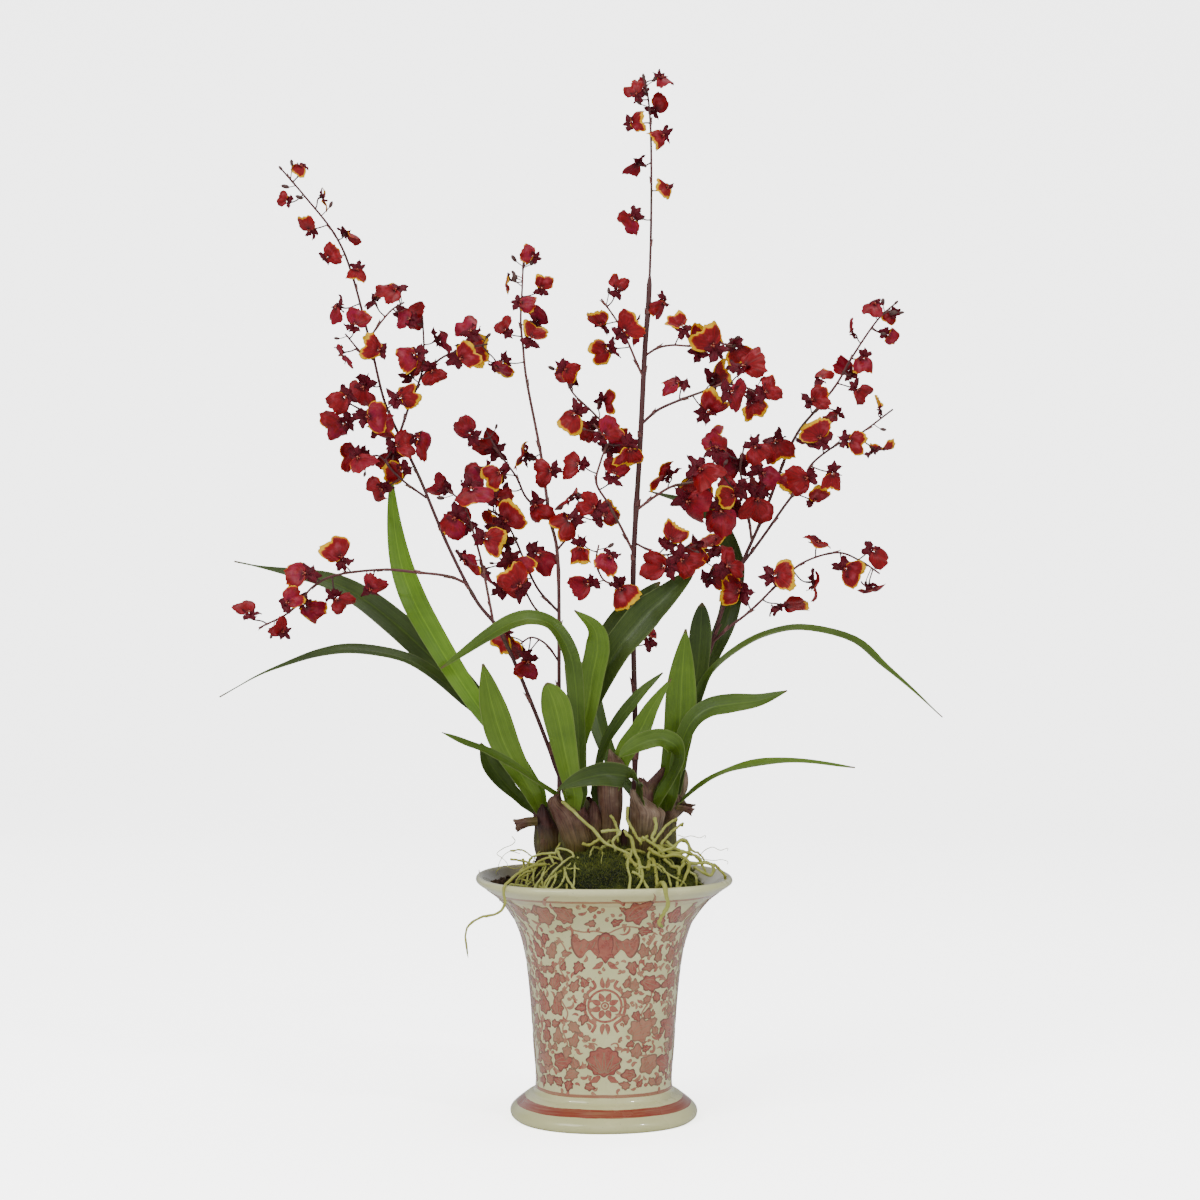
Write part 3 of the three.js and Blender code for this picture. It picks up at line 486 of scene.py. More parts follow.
def lump(centre, size, rng, rings, sides, axis=UP, uneven=0.1):
    """A small rounded lump, longer along its axis."""
    t = np.linspace(0, 1, rings + 2)
    line = centre + np.outer((t - 0.5) * 2 * size[1], axis)
    radii = size[0] * np.sqrt(np.maximum(1 - (2 * t - 1) ** 2, 0.02))
    points, faces, local = rod(line, radii, sides)
    wobble = 1 + uneven * (np.array([rng.random() for _ in points]) - 0.5)[:, None] * 2
    return centre + (points - centre) * wobble, faces, local

# %% [markdown]
# ## The pot
# The real pot is thrown porcelain: a body that opens slowly upwards, a flare with a rolled rim, a
# spread foot, and four soft corners pressed into the wall. A lathe alone would make it round, so
# the turned profile is pushed out a little at the corners by a cosine with four waves, more
# towards the rim. The profile is a smooth curve through the solid model's points.

# %% Turn the pot
POT_BODY = [
    [72.5, 0], [75.6, 3], [74.4, 8.5], [62.5, 18], [56.3, 21.5], [55.4, 37], [57.4, 62], [60, 98], [64, 130],
    [69.5, 150], [77, 163], [87, 175], [98.5, 183.4], [105, 188.2], [104, 191.8], [99, 190.8], [86, 177.5],
    [62, 145], [50, 30]
]
POT_FLOOR = 14
POT_BOW = 0.016
POT_BOW_RIM = 0.014
POT_TURN = math.radians(4.4)
RIM_HEIGHT = 192
POT_ROUND = 144
POT_UP = 110


def bow(angle, height):
    flare = smooth_step(height, 140, RIM_HEIGHT)
    return 1 - (POT_BOW + POT_BOW_RIM * flare) * np.cos(4 * (angle - POT_TURN))


# The smooth outline as radius and height, with its foot and lip rounded by the curve.
wall = curve_points(POT_BODY, np.linspace(0, 1, POT_UP))


def pot():
    profile = np.vstack([[0.01, 0], [60, 0], wall, [0.01, POT_FLOOR]])
    angles = circle(POT_ROUND)
    radius, height = profile[:, :1], profile[:, 1:]
    grown = radius * bow(angles, height)
    heap = Heap()
    heap.add_rings(stacked(grown * np.cos(angles), grown * np.sin(angles), height))
    return heap

# %% [markdown]
# ## The glaze
# Celadon porcelain is a pale grey-green body under a thick clear glaze. Its colour drifts a
# little where the glaze pools, there are tiny dark specks, and the brushed red lines wander by a
# fraction of a millimetre. The lines follow the height, which the object coordinates give in
# metres, and stay on the outside. Inside, below the lip, the glaze is painted darker and more
# olive: painted shade, with a painted reflection of the moss, and on the left the inner wall is
# darker still. The clear glaze is the shader's coat, over a body that is only fairly smooth.

# %% Mix the celadon glaze with its red lines
GLAZE = (0.925, 0.905, 0.485)
GLAZE_POOLED = (0.82, 0.82, 0.405)
# painted shade with a painted olive reflection of the moss, for the inner wall below the lip
GLAZE_INSIDE_SHADE = (0.52, 0.47, 0.25)
INSIDE_LEFT_DARKER = (0.085, 0.062, 0.026)
LINE_RED = (0.37, 0.045, 0.028)
# Each brushed line: height, half width in mm, strength of the paint.
POT_LINES = [(178.6, 1.8, 0.16), (181.0, 0.95, 0.75), (25.6, 1.3, 0.85), (14.4, 2.6, 0.97)]
LIP_AT = 0.765  # where the lip lies along the profile
GLAZE_COAT = {"Coat Weight": 0.8, "Coat Roughness": 0.06}


def glaze_finish():
    finish = Finish("celadon glaze")
    place = finish.place()
    drift = noise(place, 22, detail=5)
    colour = ramp(drift, [(0.3, GLAZE_POOLED), (0.62, GLAZE)])
    specks = ramp(noise(place, 900, detail=1), [(0.72, 0), (0.78, 0.5)])
    colour = blended(specks, colour, (0.16, 0.13, 0.08))
    height = place.axis("Z") + (noise(place, 30) - 0.5) * (1.6 * MM)
    brushed = noise(place.scaled((40, 40, 900)), 1)
    along_wall = finish.local().axis("Y")
    outside = along_wall < LIP_AT
    for middle, half, strength in POT_LINES:
        covered = (abs(height - middle * MM) < half * MM) * outside
        paint = ramp(brushed, [(0.25, strength * 0.85), (0.6, strength)])
        colour = blended(covered * paint, colour, LINE_RED)
    # below the lip the inner wall gets painted shade and a painted olive reflection of the moss
    deep = ramp(along_wall, [(LIP_AT + 0.015, 0), (LIP_AT + 0.07, 0.9)])
    colour = blended(deep, colour, GLAZE_INSIDE_SHADE)
    # the inner wall is darker still towards the left
    side = place.axis("X") + drift * (30 * MM)
    left_darker = ramp(side * 5 + 0.5, [(0.18, 0.95), (0.4, 0)])
    colour = blended(deep * left_darker, colour, INSIDE_LEFT_DARKER)
    gloss = ramp(drift, [(0.3, 0.2), (0.7, 0.3)])
    return finish.done(colour, gloss, (noise(place, 45, detail=2), 0.25, 0.0008), GLAZE_COAT)


celadon = glaze_finish()
pot_piece = pot().build("glazed_pot", [celadon], crease=60)
settle(pot_piece, "porcelain", "pot")

# %% [markdown]
# ## The painted ornament
# The painter works in four panels, one to each side, and leaves a bare strip at each corner. A
# panel holds a bat at the top, a round medallion in the middle and a lotus at the bottom, with
# leafy scrolls on both sides and a garland under the rim. Large forms are outlined and washed in,
# the rest are single strokes, and small scrolls fill the gaps. A picture could be wrapped round
# the pot, but here each stroke is its own thin skin of paint: a ribbon with a middle line and a
# width that swells and shrinks, or a filled patch. It is laid out flat in millimetres from the
# panel's middle, then bent round the wall, and keeps a crisp edge at any distance this way.

# %% Where a point of a panel lies on the wall
PANEL_TURN = math.radians(1.5)
PAINT_LIFT = 0.16
PAINT_LAYER = 0.05
PAINT_ROOT = 0.4
outer = wall[: int(np.argmax(wall[:, 0])) + 1]
rising = outer[int(np.argmin(outer[:, 0])) - 14:]
rising = rising[np.argsort(rising[:, 1], kind="stable")]


def wall_radius(height):
    return np.interp(height, rising[:, 1], rising[:, 0])


def on_wall(across, height, panel, lift):
    """A flat point of a panel, across and up, put on the wall and lifted off it."""
    radius = wall_radius(height)
    middle = -math.pi / 2 + PANEL_TURN + panel * math.pi / 2
    angle = middle + across / np.maximum(radius * 0.96, 1)
    slope = wall_radius(height + 0.5) - wall_radius(height - 0.5)
    tilt = np.sqrt(1 + slope**2)
    reach = radius * bow(angle, height) + lift / tilt
    return stacked(reach * np.cos(angle), reach * np.sin(angle), height - lift * slope / tilt)

# %% One brush stroke
def stroke(heap, line, width, panel, layer=0, mood=0.5):
    """A ribbon of paint along a flat line, with a width for each of its points."""
    line = np.asarray(line, float)
    width = np.broadcast_to(np.asarray(width, float), (len(line),))
    along = directions(line)
    side = stacked(-along[:, 1], along[:, 0])
    half = side * width[:, None] / 2
    left, right = line - half, line + half
    lift = PAINT_LIFT + PAINT_LAYER * layer
    # Four corners a station, round the ribbon: top left, under left, under right, top right.
    corners = [on_wall(*flat.T, panel, height) for flat, height in
               ((left, lift), (left, -PAINT_ROOT), (right, -PAINT_ROOT), (right, lift))]
    local = np.stack([np.tile([0, 0, 1, 1], len(line)), np.repeat(np.linspace(0, 1, len(line)), 4)], -1)
    heap.add_rings(np.stack(corners, 1), local, mood=mood)


def arc_line(start, heading, length, bend, steps=12):
    """A flat line that leaves start in a direction and bends by an angle over its length."""
    points = [np.array(start, float)]
    for k in range(steps):
        angle = heading + bend * (k + 0.5) / steps
        points.append(points[-1] + length / steps * np.array([math.cos(angle), math.sin(angle)]))
    return np.array(points)

# %% A filled patch with its own outline
PATCH_EDGE = 1.15
WIDE_PATCH = 6


def patch(heap, panel, outline, layer=1, mood=0.6, middle=None):
    """A painted area inside a closed flat line. Its map says how near the edge each point is."""
    outline = np.asarray(outline, float)
    middle = outline.mean(0) if middle is None else np.asarray(middle, float)
    size = np.linalg.norm(outline - middle, axis=1).mean()
    inner = max(0.7, 1 - PATCH_EDGE / size)
    # A wide patch needs one more ring, or its flat middle would cut into the round wall.
    reach = np.array([0.02, 0.6 * inner, inner, 1] if size > WIDE_PATCH else [0.5 * inner, inner, 1])
    count, rings = len(outline), len(reach)
    flat = middle + reach[:, None, None] * (outline - middle)
    top = on_wall(flat[..., 0], flat[..., 1], panel, PAINT_LIFT + PAINT_LAYER * layer)
    root = on_wall(*outline.T, panel, -PAINT_ROOT)
    u = np.repeat([0.5, 0.7, 0.93, 1, 1][-rings - 1:], count)
    local = np.stack([u, np.tile(np.linspace(0, 1, count), rings + 1)], -1)
    faces = [face[::-1] for face in ring_faces(rings + 1, count)]
    heap.add(np.concatenate([top.reshape(-1, 3), root]), faces, local, mood=mood)


def turned_shape(points, at, heading, size=1):
    points = np.asarray(points, float) * size
    c, s = math.cos(heading), math.sin(heading)
    return np.array(at) + points @ np.array([[c, s], [-s, c]])

# %% Leaves, commas, tendrils and rings of the ornament
def painted_leaf(heap, panel, at, heading, length, width, bend=0.5, lobes=3, mood=0.5, steps=12):
    line = arc_line(at, heading, length, bend, steps)
    t = np.linspace(0, 1, len(line))
    body = np.sin(np.pi * np.clip(t, 0, 1) ** 0.72) ** 0.8
    scallop = 1 - 0.24 * np.abs(np.sin(lobes * np.pi * t))
    stroke(heap, line, np.maximum(width * body * scallop, 0.35), panel, 1, mood=mood)


def jagged_leaf(heap, panel, rng, at, heading, size, mood):
    """A broad leaf with a torn edge and one point, as long as its size, with its veins."""
    turn = circle(33 if size > 10 else 22)
    lobes = rng.choice((5, 6, 7))
    saw = np.abs((turn * lobes / math.pi + rng.random()) % 2 - 1)
    reach = 0.43 * (1 - 0.3 * saw + 0.05 * np.sin(3 * turn + rng.uniform(0, 6)))
    reach += 0.26 * np.exp(-(np.minimum(turn, 2 * math.pi - turn) / 0.34) ** 2)
    shape = stacked(reach * np.cos(turn), rng.uniform(0.85, 1.1) * reach * np.sin(turn))
    patch(heap, panel, turned_shape(shape, at, heading, size), 2, mood)
    for k in (-1, 0, 1) if size > 10 else (0,):
        vein = arc_line((-0.28, 0.03 * k), 0.6 * k, 0.62 - 0.16 * abs(k), -0.5 * k, steps=5)
        stroke(heap, turned_shape(vein, at, heading, size), 0.4, panel, 4, mood=0.08)


def commas(heap, panel, rng, at, size, count):
    """Small curled leaves that stand round a larger one."""
    first = rng.uniform(0, 6.3)
    for k in range(count):
        angle = first + (k + rng.uniform(-0.25, 0.25)) * 2 * math.pi / count
        start = (at[0] + 0.46 * size * math.cos(angle), at[1] + 0.46 * size * math.sin(angle))
        hand = rng.choice((-1, 1))
        painted_leaf(heap, panel, start, angle + hand * 0.7, size * rng.uniform(0.36, 0.56),
                     rng.uniform(1.8, 3.2), -hand * rng.uniform(1.4, 2.6), 0, rng.uniform(0.3, 0.85), 7)


def scroll(heap, panel, at, heading, size, hand, turns=1.35, mood=0.5):
    """A tendril that curls in on itself and ends in a dot."""
    points = [np.array(at, float)]
    steps = 13
    angle = heading
    for k in range(steps):
        t = (k + 0.5) / steps
        step = size * 2.4 / steps * (1 - 0.62 * t)
        angle += hand * turns * 2 * math.pi / steps * (0.35 + 1.1 * t)
        points.append(points[-1] + step * np.array([math.cos(angle), math.sin(angle)]))
    t = np.linspace(0, 1, steps + 1)
    stroke(heap, points, 0.8 + 0.5 * np.sin(np.pi * t) + 1.0 * smooth_step(t, 0.8, 1), panel, 1, mood=mood)


def vine(heap, panel, route, width=0.8, mood=0.5):
    line = curve_points(np.array(route, float), np.linspace(0, 1, 8 * len(route)))
    stroke(heap, line, width, panel, 0, mood=mood)


def ring(heap, panel, at, radius, width, mood=0.5, layer=1):
    angles = np.linspace(0, 2 * math.pi, 25)
    line = np.array(at) + radius * stacked(np.cos(angles), np.sin(angles))
    stroke(heap, line, width, panel, layer, mood=mood)

# %% Bat, medallion and lotus
BAT_WING = [
    [2.5, 8], [6, 9.5], [9.5, 6], [13, 4.5], [16.5, 6.5], [20, 4], [22.5, 6.5], [24.5, 10.5], [26.3, 6],
    [26, 0], [23.5, -6], [20, -9.5], [17, -8.5], [14.5, -4.5], [11.5, -2.5], [8.5, -6], [5, -8.5], [2.5, -6]
]
BAT_BODY = [
    [0, 12], [3, 10.5], [5.5, 7], [6, 1], [5, -5], [7, -9.5], [3.5, -9], [0, -13.5], [-3.5, -9], [-7, -9.5],
    [-5, -5], [-6, 1], [-5.5, 7], [-3, 10.5]
]


def smooth_loop(points, count):
    """A smooth closed line through a few points."""
    points = np.asarray(points, float)
    t = np.linspace(0, 1, count, endpoint=False)
    around = np.vstack([points[-3:], points, points[:3]])
    inner = (3 + t * len(points)) / (len(around) - 1)
    return curve_points(around, inner)


def bat(heap, panel, x, z):
    for hand in (-1, 1):
        wing = smooth_loop(BAT_WING, 60)[::-hand] * (hand, 1) + (x, z)
        patch(heap, panel, wing, 2, 0.75, middle=(x + hand * 13.5, z + 0.6))
        for k in range(3):
            start = (x + hand * (8 + 5 * k), z + 4 - k)
            fold = arc_line(start, math.radians(-90 + hand * 12), 5.5, hand * 0.4, 6)
            stroke(heap, fold, 0.5, panel, 4, mood=0)
        scroll(heap, panel, (x + hand * 25.5, z + 8), math.pi / 2 + hand * 0.5, 4.5, hand, 0.8, mood=0.4)
        down = math.radians(-90 + hand * 34)
        painted_leaf(heap, panel, (x + hand * 2, z - 12), down, 10, 5, hand * 0.7, 2, mood=0.8)
    patch(heap, panel, smooth_loop(BAT_BODY, 48)[::-1] + (x, z), 3, 0.9)
    for side in (-1.7, 1.7):
        ring(heap, panel, (x + side, z + 7), 0.9, 0.7, mood=0, layer=5)


BRACKET = [[9.5, 20], [7.5, 15], [13, 10], [15.6, 0], [13, -10], [7.5, -15], [10, -21]]


def medallion(heap, panel, x, z):
    """A plain geometric rosette between two brackets."""
    for k in range(8):
        angle = k * math.pi / 4 + math.pi / 8
        start = (x + 3.6 * math.cos(angle), z + 3.6 * math.sin(angle))
        painted_leaf(heap, panel, start, angle, 7.4, 4.6, 0, lobes=0, mood=0.8)
    for radius, width, mood in ((2.6, 1.2, 0.8), (12.6, 1.7, 0.8), (0.6, 1.5, 0.5)):
        ring(heap, panel, (x, z), radius, width, mood)
    for hand in (-1, 1):
        vine(heap, panel, np.array(BRACKET) * (hand, 1) + (x, z), 2.3, mood=0.75)
        for up in (-1, 1):
            painted_leaf(heap, panel, (x + hand * 0.8, z + up * 14), up * math.pi / 2 - up * hand * 0.5,
                         9, 3.6, hand * up * 0.7, lobes=0, mood=0.7)


def lotus(heap, panel, x, z):
    turn = circle(66)
    saw = np.abs((turn * 11 / math.pi + 0.5) % 2 - 1)
    reach = 13.6 * (1 - 0.17 * saw)
    petals = stacked(1.06 * reach * np.cos(turn), 0.93 * reach * np.sin(turn))
    patch(heap, panel, petals + (x, z), 2, 0.9)
    for k in (-2, -1, 0, 1, 2):
        for hand in (-1, 1):
            rib = arc_line((x + 1.2 * k, z - 9), math.pi / 2 - 0.42 * k - hand * 0.32, 17 - 1.4 * abs(k),
                           hand * 0.75, steps=9)
            stroke(heap, rib, 0.5, panel, 4, mood=0)
    for hand in (-1, 1):
        down = math.radians(-90 + hand * 40)
        painted_leaf(heap, panel, (x + hand * 3, z - 11), down, 10, 5.5, hand * 0.6, 2, mood=0.8)
        painted_leaf(heap, panel, (x + hand * 8, z + 9), math.radians(60 - hand * 20), 8, 3, -hand * 1.6, 0)
        scroll(heap, panel, (x + hand * 5, z + 13), math.radians(90 - hand * 40), 7, -hand, 1.0)

# %% Lay out the four panels
# Broad leaves of a panel: across, height, length, heading in degrees.
BROAD_LEAVES = [
    (-30, 170, 18, 150), (23, 172, 23, 25), (-46, 167, 18, 125), (42, 163, 13, 60), (55, 167, 15, 60),
    (-56, 172, 13, 90), (-11, 163, 8, 180), (7, 163.5, 9, 20), (34, 175, 7, 200), (-12, 175, 8, 10),
    (12, 175, 6, 140), (-35, 157, 9, 0), (29, 156, 11, 0), (-50, 150, 9, 250), (49, 149, 10, 40),
    (-43, 137.5, 14, 80), (-32, 137, 8, 10), (29, 139, 11, 90), (37, 139, 8, 80), (-20, 127.5, 10, 250),
    (48, 133, 15, 60), (21, 128, 11, 270), (34, 126, 10, 200), (-46, 124, 8, 160), (-33, 126, 7, 80),
    (-44, 113.5, 14, 70), (-34, 117, 8, 120), (-24, 111, 11, 60), (-15.5, 114.5, 8, 120), (-15, 104, 8, 320),
    (-36, 103, 9, 270), (15.5, 114.5, 8, 60), (17, 105.5, 9, 200), (22, 112, 10, 85), (34, 114, 18, 340),
    (48, 112, 14, 80), (33, 102, 8, 230), (42, 102, 9, 100), (-48, 94, 15, 100), (-34, 92, 17, 120),
    (-17.5, 95, 9, 180), (-15.5, 87, 9, 240), (-24, 81, 11, 330), (-46, 81, 8, 20), (17, 95.5, 9, 100),
    (23, 89, 9, 300), (15, 86.5, 8, 270), (33, 89, 9, 60), (48, 89, 15, 80), (27, 76, 23, 30),
    (19, 67, 7, 200), (24, 60, 12, 70), (32, 62, 8, 20), (46, 62, 18, 85), (47, 75, 8, 120),
    (-47, 71, 13, 90), (-36, 72, 9, 60), (-24.5, 68, 12, 60), (-29, 60, 11, 250), (-14, 71, 7, 150),
    (-42, 51, 16, 20), (-40, 62, 6, 90), (-24, 50, 9, 90), (-26, 42.5, 12, 200), (-29, 34.5, 9, 260),
    (18, 42.5, 12, 180), (34, 48, 18, 30), (15.5, 34, 9, 170), (46, 43, 9, 200), (37, 35.5, 9, 330),
    (-41, 36, 10, 160), (-13, 33.5, 8, 340), (27, 35, 7, 60)
]
# Curling tendrils: across, height, heading in degrees, size, which hand.
TENDRILS = [
    (-20, 176, 200, 5, -1), (-4, 173, 20, 5, 1), (2, 168, 160, 5, 1), (38, 170, 190, 6, 1),
    (-38, 150, 40, 5, -1), (41, 153, 120, 6, 1), (-33, 129, 100, 5, 1), (42, 124, 60, 5, -1),
    (27, 101, 250, 5, 1), (39, 96, 100, 5, -1), (-27, 103, 300, 5, -1), (36, 83, 190, 5, -1),
    (-33, 80, 30, 5, 1), (36, 68, 100, 4, 1), (-16, 64, 60, 4, -1), (12, 70, 120, 4, 1),
    (-35, 44, 120, 5, -1), (26, 46, 250, 4, 1), (-40, 126, 200, 5, 1), (29, 148, 20, 4, 1)
]
# Middle lines of the garland and of the vines at the sides: across, height.
GARLAND = [[-38, 155], [-28, 158], [-18, 155.5], [-8, 157], [0, 155], [8, 157], [16, 160], [28, 158],
           [38, 154]]
SIDE_VINES = [
    [[-36, 150], [-31, 138], [-36, 126], [-30, 114], [-36, 102], [-29, 90], [-33, 78], [-29, 66], [-34, 54],
      [-30, 42]],
    [[38, 150], [31, 138], [25, 126], [33, 114], [37, 102], [28, 90], [32, 78], [29, 66], [33, 54],
      [28, 42]],
]
BAT_HEIGHT = 144
MEDALLION_HEIGHT = 97
LOTUS_HEIGHT = 53
CORNER_STRIP = 1.8
CLOSENESS = 0.74
LEAF_GROWN = 1.1
FILLERS = 150


def panel_half(height):
    """Half the width of a panel at a height, up to the bare strip at its corner."""
    return math.pi / 4 * wall_radius(height) - CORNER_STRIP


def stands_free(taken, at, half):
    """Whether a round spot keeps inside its panel and off the spots already painted."""
    if abs(at[0]) + half > panel_half(at[1]) + 0.5:
        return False
    return all(math.dist(at, other) > CLOSENESS * (half + size) for other, size in taken)


def painted_panel(heap, panel):
    rng = random.Random(40 + panel)
    hand = -1 if panel % 2 else 1
    taken = [((0, MEDALLION_HEIGHT), 20), ((0, LOTUS_HEIGHT), 16)]
    taken += [((side, BAT_HEIGHT), 13) for side in (-15, 15)]

    def near(value, by=0.9):
        return value + rng.uniform(-by, by)

    def aimed(heading):
        angle = math.radians(near(heading, 12))
        return angle if hand > 0 else math.pi - angle

    for route in [GARLAND, *SIDE_VINES]:
        vine(heap, panel, [[hand * near(x), near(z)] for x, z in route], 1.1, mood=0.35)
    for x, z, size, heading in BROAD_LEAVES:
        angle = aimed(heading)
        size *= LEAF_GROWN
        room = panel_half(z) - 0.42 * size
        at = (hand * min(max(near(x), -room), room), near(z))
        while size > 5 and not stands_free(taken, at, 0.42 * size):
            size *= 0.92
        if size > 5:
            taken.append((at, 0.42 * size))
            jagged_leaf(heap, panel, rng, at, angle, size, rng.uniform(0.45, 0.95))
            commas(heap, panel, rng, at, size + 1, 4 if size > 11 else 2)
    taken = [(at, size * 1.25) for at, size in taken]
    for _ in range(FILLERS):
        z = rng.uniform(31, 172)
        at, half = (rng.uniform(-1, 1) * panel_half(z), z), rng.uniform(2.2, 3.4)
        if stands_free(taken, at, half):
            taken.append((at, half))
            if rng.random() < 0.7:
                scroll(heap, panel, at, rng.uniform(0, 6.3), half * 1.4, rng.choice((-1, 1)), 1.1,
                       mood=rng.uniform(0.3, 0.6))
            else:
                painted_leaf(heap, panel, at, rng.uniform(0, 6.3), half * 2, half, rng.uniform(-2, 2), 2,
                             rng.uniform(0.3, 0.9), 7)
    for x, z, heading, size, turn in TENDRILS:
        angle = aimed(heading)
        scroll(heap, panel, (hand * near(x), near(z)), angle, near(size, 0.5), hand * turn,
               mood=rng.uniform(0.2, 0.6))
    bat(heap, panel, near(0), BAT_HEIGHT)
    medallion(heap, panel, near(0), MEDALLION_HEIGHT)
    lotus(heap, panel, near(-1.5), LOTUS_HEIGHT)

# %% Mix the coral paint
PAINT_BODY = (0.4, 0.075, 0.05)
PAINT_PALE = (0.54, 0.17, 0.105)
PAINT_EDGE = (0.17, 0.042, 0.028)


def paint_finish():
    """The brush leaves more pigment at a stroke's edges, and a mottled wash between them."""
    finish = Finish("coral paint")
    wash = noise(finish.place(), 170)
    colour = ramp(wash, [(0.32, PAINT_BODY), (0.7, PAINT_PALE)])
    edge = ramp(abs(finish.local().axis("X") - 0.5) + wash * 0.1, [(0.46, 0), (0.52, 0.9)])
    colour = blended(edge, colour, PAINT_EDGE)
    mood = finish.mood()
    colour = blended(ramp(mood, [(0.05, 1), (0.12, 0)]), colour, PAINT_EDGE)
    colour = blended(ramp(mood, [(0.12, 0.25), (0.9, 0)]), colour, GLAZE)
    return finish.done(colour, ramp(wash, [(0.3, 0.24), (0.7, 0.34)]), others=GLAZE_COAT)


coral = paint_finish()
ornament = Heap()
for panel in range(4):
    painted_panel(ornament, panel)
ornament_piece = ornament.build("painted_ornament", [coral], crease=30)
settle(ornament_piece, "porcelain")

# %% [markdown]
# ## Soil and crumbs
# Dark potting soil fills the pot to a little below the rim, and at the left edge it has slid up
# the wall in a low bank. Only its top shows, as a ring round the moss, so the solid's own shape is
# enough for the sides, and the top gets an uneven surface and a scatter of crumbs and bark chips.
# Crumbs are small uneven lumps: real ones would be finer, but these are the size that the eye
# still tells apart.

# %% Mix the soil
def soil_finish():
    finish = Finish("dark soil")
    grains = noise(finish.place(), 700, detail=6, roughness=0.7)
    colour = ramp(grains, [(0.3, (0.012, 0.008, 0.005)), (0.55, (0.045, 0.028, 0.016)),
                           (0.75, (0.12, 0.078, 0.045))])
    colour = blended(finish.mood() * 0.5, colour, (0.1, 0.055, 0.03))
    return finish.done(colour, 0.95, (grains, 0.6, 0.0012), {"Specular IOR Level": 0.2})

# %% Fill the pot with soil
SOIL_TOP = 178
SOIL_FLOOR = 31.5
SOIL_CLEAR = 0.6
SOIL_SIDE = [(SOIL_FLOOR, 50.5), (145, 62), (SOIL_TOP, 86.5)]
SOIL_BANK = (6, 5)  # how much higher and wider the soil is at the left edge
SOIL_RINGS = 18
SOIL_ROUND = 72
SOIL_EDGE = 86  # how far out the top of the soil reaches
CRUMBS = 540


def ripple(x, y, scale, seed=0.0):
    """A cheap uneven surface from a few crossed waves, between about -1 and 1."""
    x, y = x / scale + seed, y / scale - seed
    crossed = np.sin(x * 1.7 + np.sin(y * 1.3)) + np.sin(y * 2.1 - np.sin(x * 0.9))
    return (crossed + np.sin((x + y) * 3.3)) / 3


def banked(x, radius):
    """How far the soil has slid up the wall: 1 at its left edge, 0 elsewhere."""
    return smooth_step(-x, 20, 70) * smooth_step(radius, 64, SOIL_EDGE)


def soil():
    heap = Heap()
    angles = circle(SOIL_ROUND)
    profile = [(0.01, SOIL_FLOOR)] + [(r - SOIL_CLEAR, z) for z, r in SOIL_SIDE]
    profile += [((SOIL_SIDE[-1][1] - SOIL_CLEAR) * (1 - k / SOIL_RINGS) + 0.01, SOIL_TOP)
                for k in range(1, SOIL_RINGS + 1)]
    radius, height = np.array(profile).T[..., None]
    grown = radius * bow(angles, height)
    x, y = grown * np.cos(angles), grown * np.sin(angles)
    row = np.arange(len(profile))[:, None]
    height = height + np.where(row > len(SOIL_SIDE), 1.6 * ripple(x, y, 6.0), 0)
    bank = np.where(row >= len(SOIL_SIDE), banked(x, grown), 0)
    wider = 1 + SOIL_BANK[1] / SOIL_EDGE * bank
    grid = stacked(x * wider, y * wider, height + SOIL_BANK[0] * bank)
    heap.add_rings(grid, grid[..., :2].reshape(-1, 2) / 180 + 0.5, mood=0.2)
    rng = random.Random(71)
    for _ in range(CRUMBS):
        angle, radius = rng.uniform(0, 2 * math.pi), rng.uniform(66, 85)
        size = rng.uniform(0.7, 2.2)
        lean = unit(vector(rng.uniform(-1, 1), rng.uniform(-1, 1), rng.uniform(-0.4, 0.4)))
        bank = float(banked(radius * math.cos(angle), radius))
        radius += SOIL_BANK[1] * bank
        centre = vector(radius * math.cos(angle), radius * math.sin(angle),
                        SOIL_TOP + 0.6 + size * 0.4 + SOIL_BANK[0] * bank)
        points, faces, local = lump(centre, (size, size * rng.uniform(1, 1.9)), rng, 3, 6, lean, 0.2)
        heap.add(points, faces, local, mood=rng.random())
    return heap


soil_piece = soil().build("potting_soil", [soil_finish()], crease=70)
settle(soil_piece, "soil", "soil")

# %% [markdown]
# ## Moss
# The mound is a cushion of dark moss, thickest in the middle and mixed with old brown bits on the
# left. A displaced dome alone reads as felt, so thousands of tiny three-sided shoots stand on it,
# each leaning a little its own way. Shoots are plain geometry because particles are lost when
# the model is exported.

# %% Mix the moss
def moss_finish():
    finish = Finish("moss")
    place = finish.place()
    green = ramp(noise(place, 55, detail=5), [(0.3, (0.008, 0.013, 0.003)), (0.5, (0.034, 0.048, 0.007)),
                                              (0.7, (0.125, 0.15, 0.018))])
    tip = ramp(finish.local().axis("Y"), [(0.2, 0), (1, 0.55)])
    green = blended(tip, green, (0.32, 0.355, 0.035))
    brown = ramp(noise(place, 300), [(0.3, (0.018, 0.01, 0.006)), (0.7, (0.1, 0.06, 0.03))])
    return finish.done(blended(finish.mood(), brown, green), 0.9, (noise(place, 900), 0.5, 0.0008),
                       {"Specular IOR Level": 0.25, "Sheen Weight": 0.15})

# %% Raise the mound and plant the shoots
MOSS_CENTRE_X = 5
MOSS_RADIUS = 75
MOSS_RISE = 37
MOSS_RINGS = 32
MOSS_ROUND = 90
MOSS_SHOOTS = 15500
# Humps that stand on the mound: across, deep, radius, rise.
MOSS_HUMPS = [(-50, -12, 20, 9), (60, -8, 16, 6), (-34, -34, 12, 4)]


def moss_height(x, y):
    share = np.minimum(np.hypot(x - MOSS_CENTRE_X, y) / MOSS_RADIUS, 1)
    humps = sum(rise * np.exp(-((x - mx) ** 2 + (y - my) ** 2) / radius**2)
                for mx, my, radius, rise in MOSS_HUMPS)
    return SOIL_TOP + MOSS_RISE * np.power(1 - np.power(share, 2.6), 0.8) + humps * (1 - share**6)


def moss_surface(x, y):
    lumps = 2.0 * ripple(x, y, 7.0, 3.0) + 1.3 * ripple(x, y, 2.7, 9.0)
    return moss_height(x, y) - 0.6 + lumps


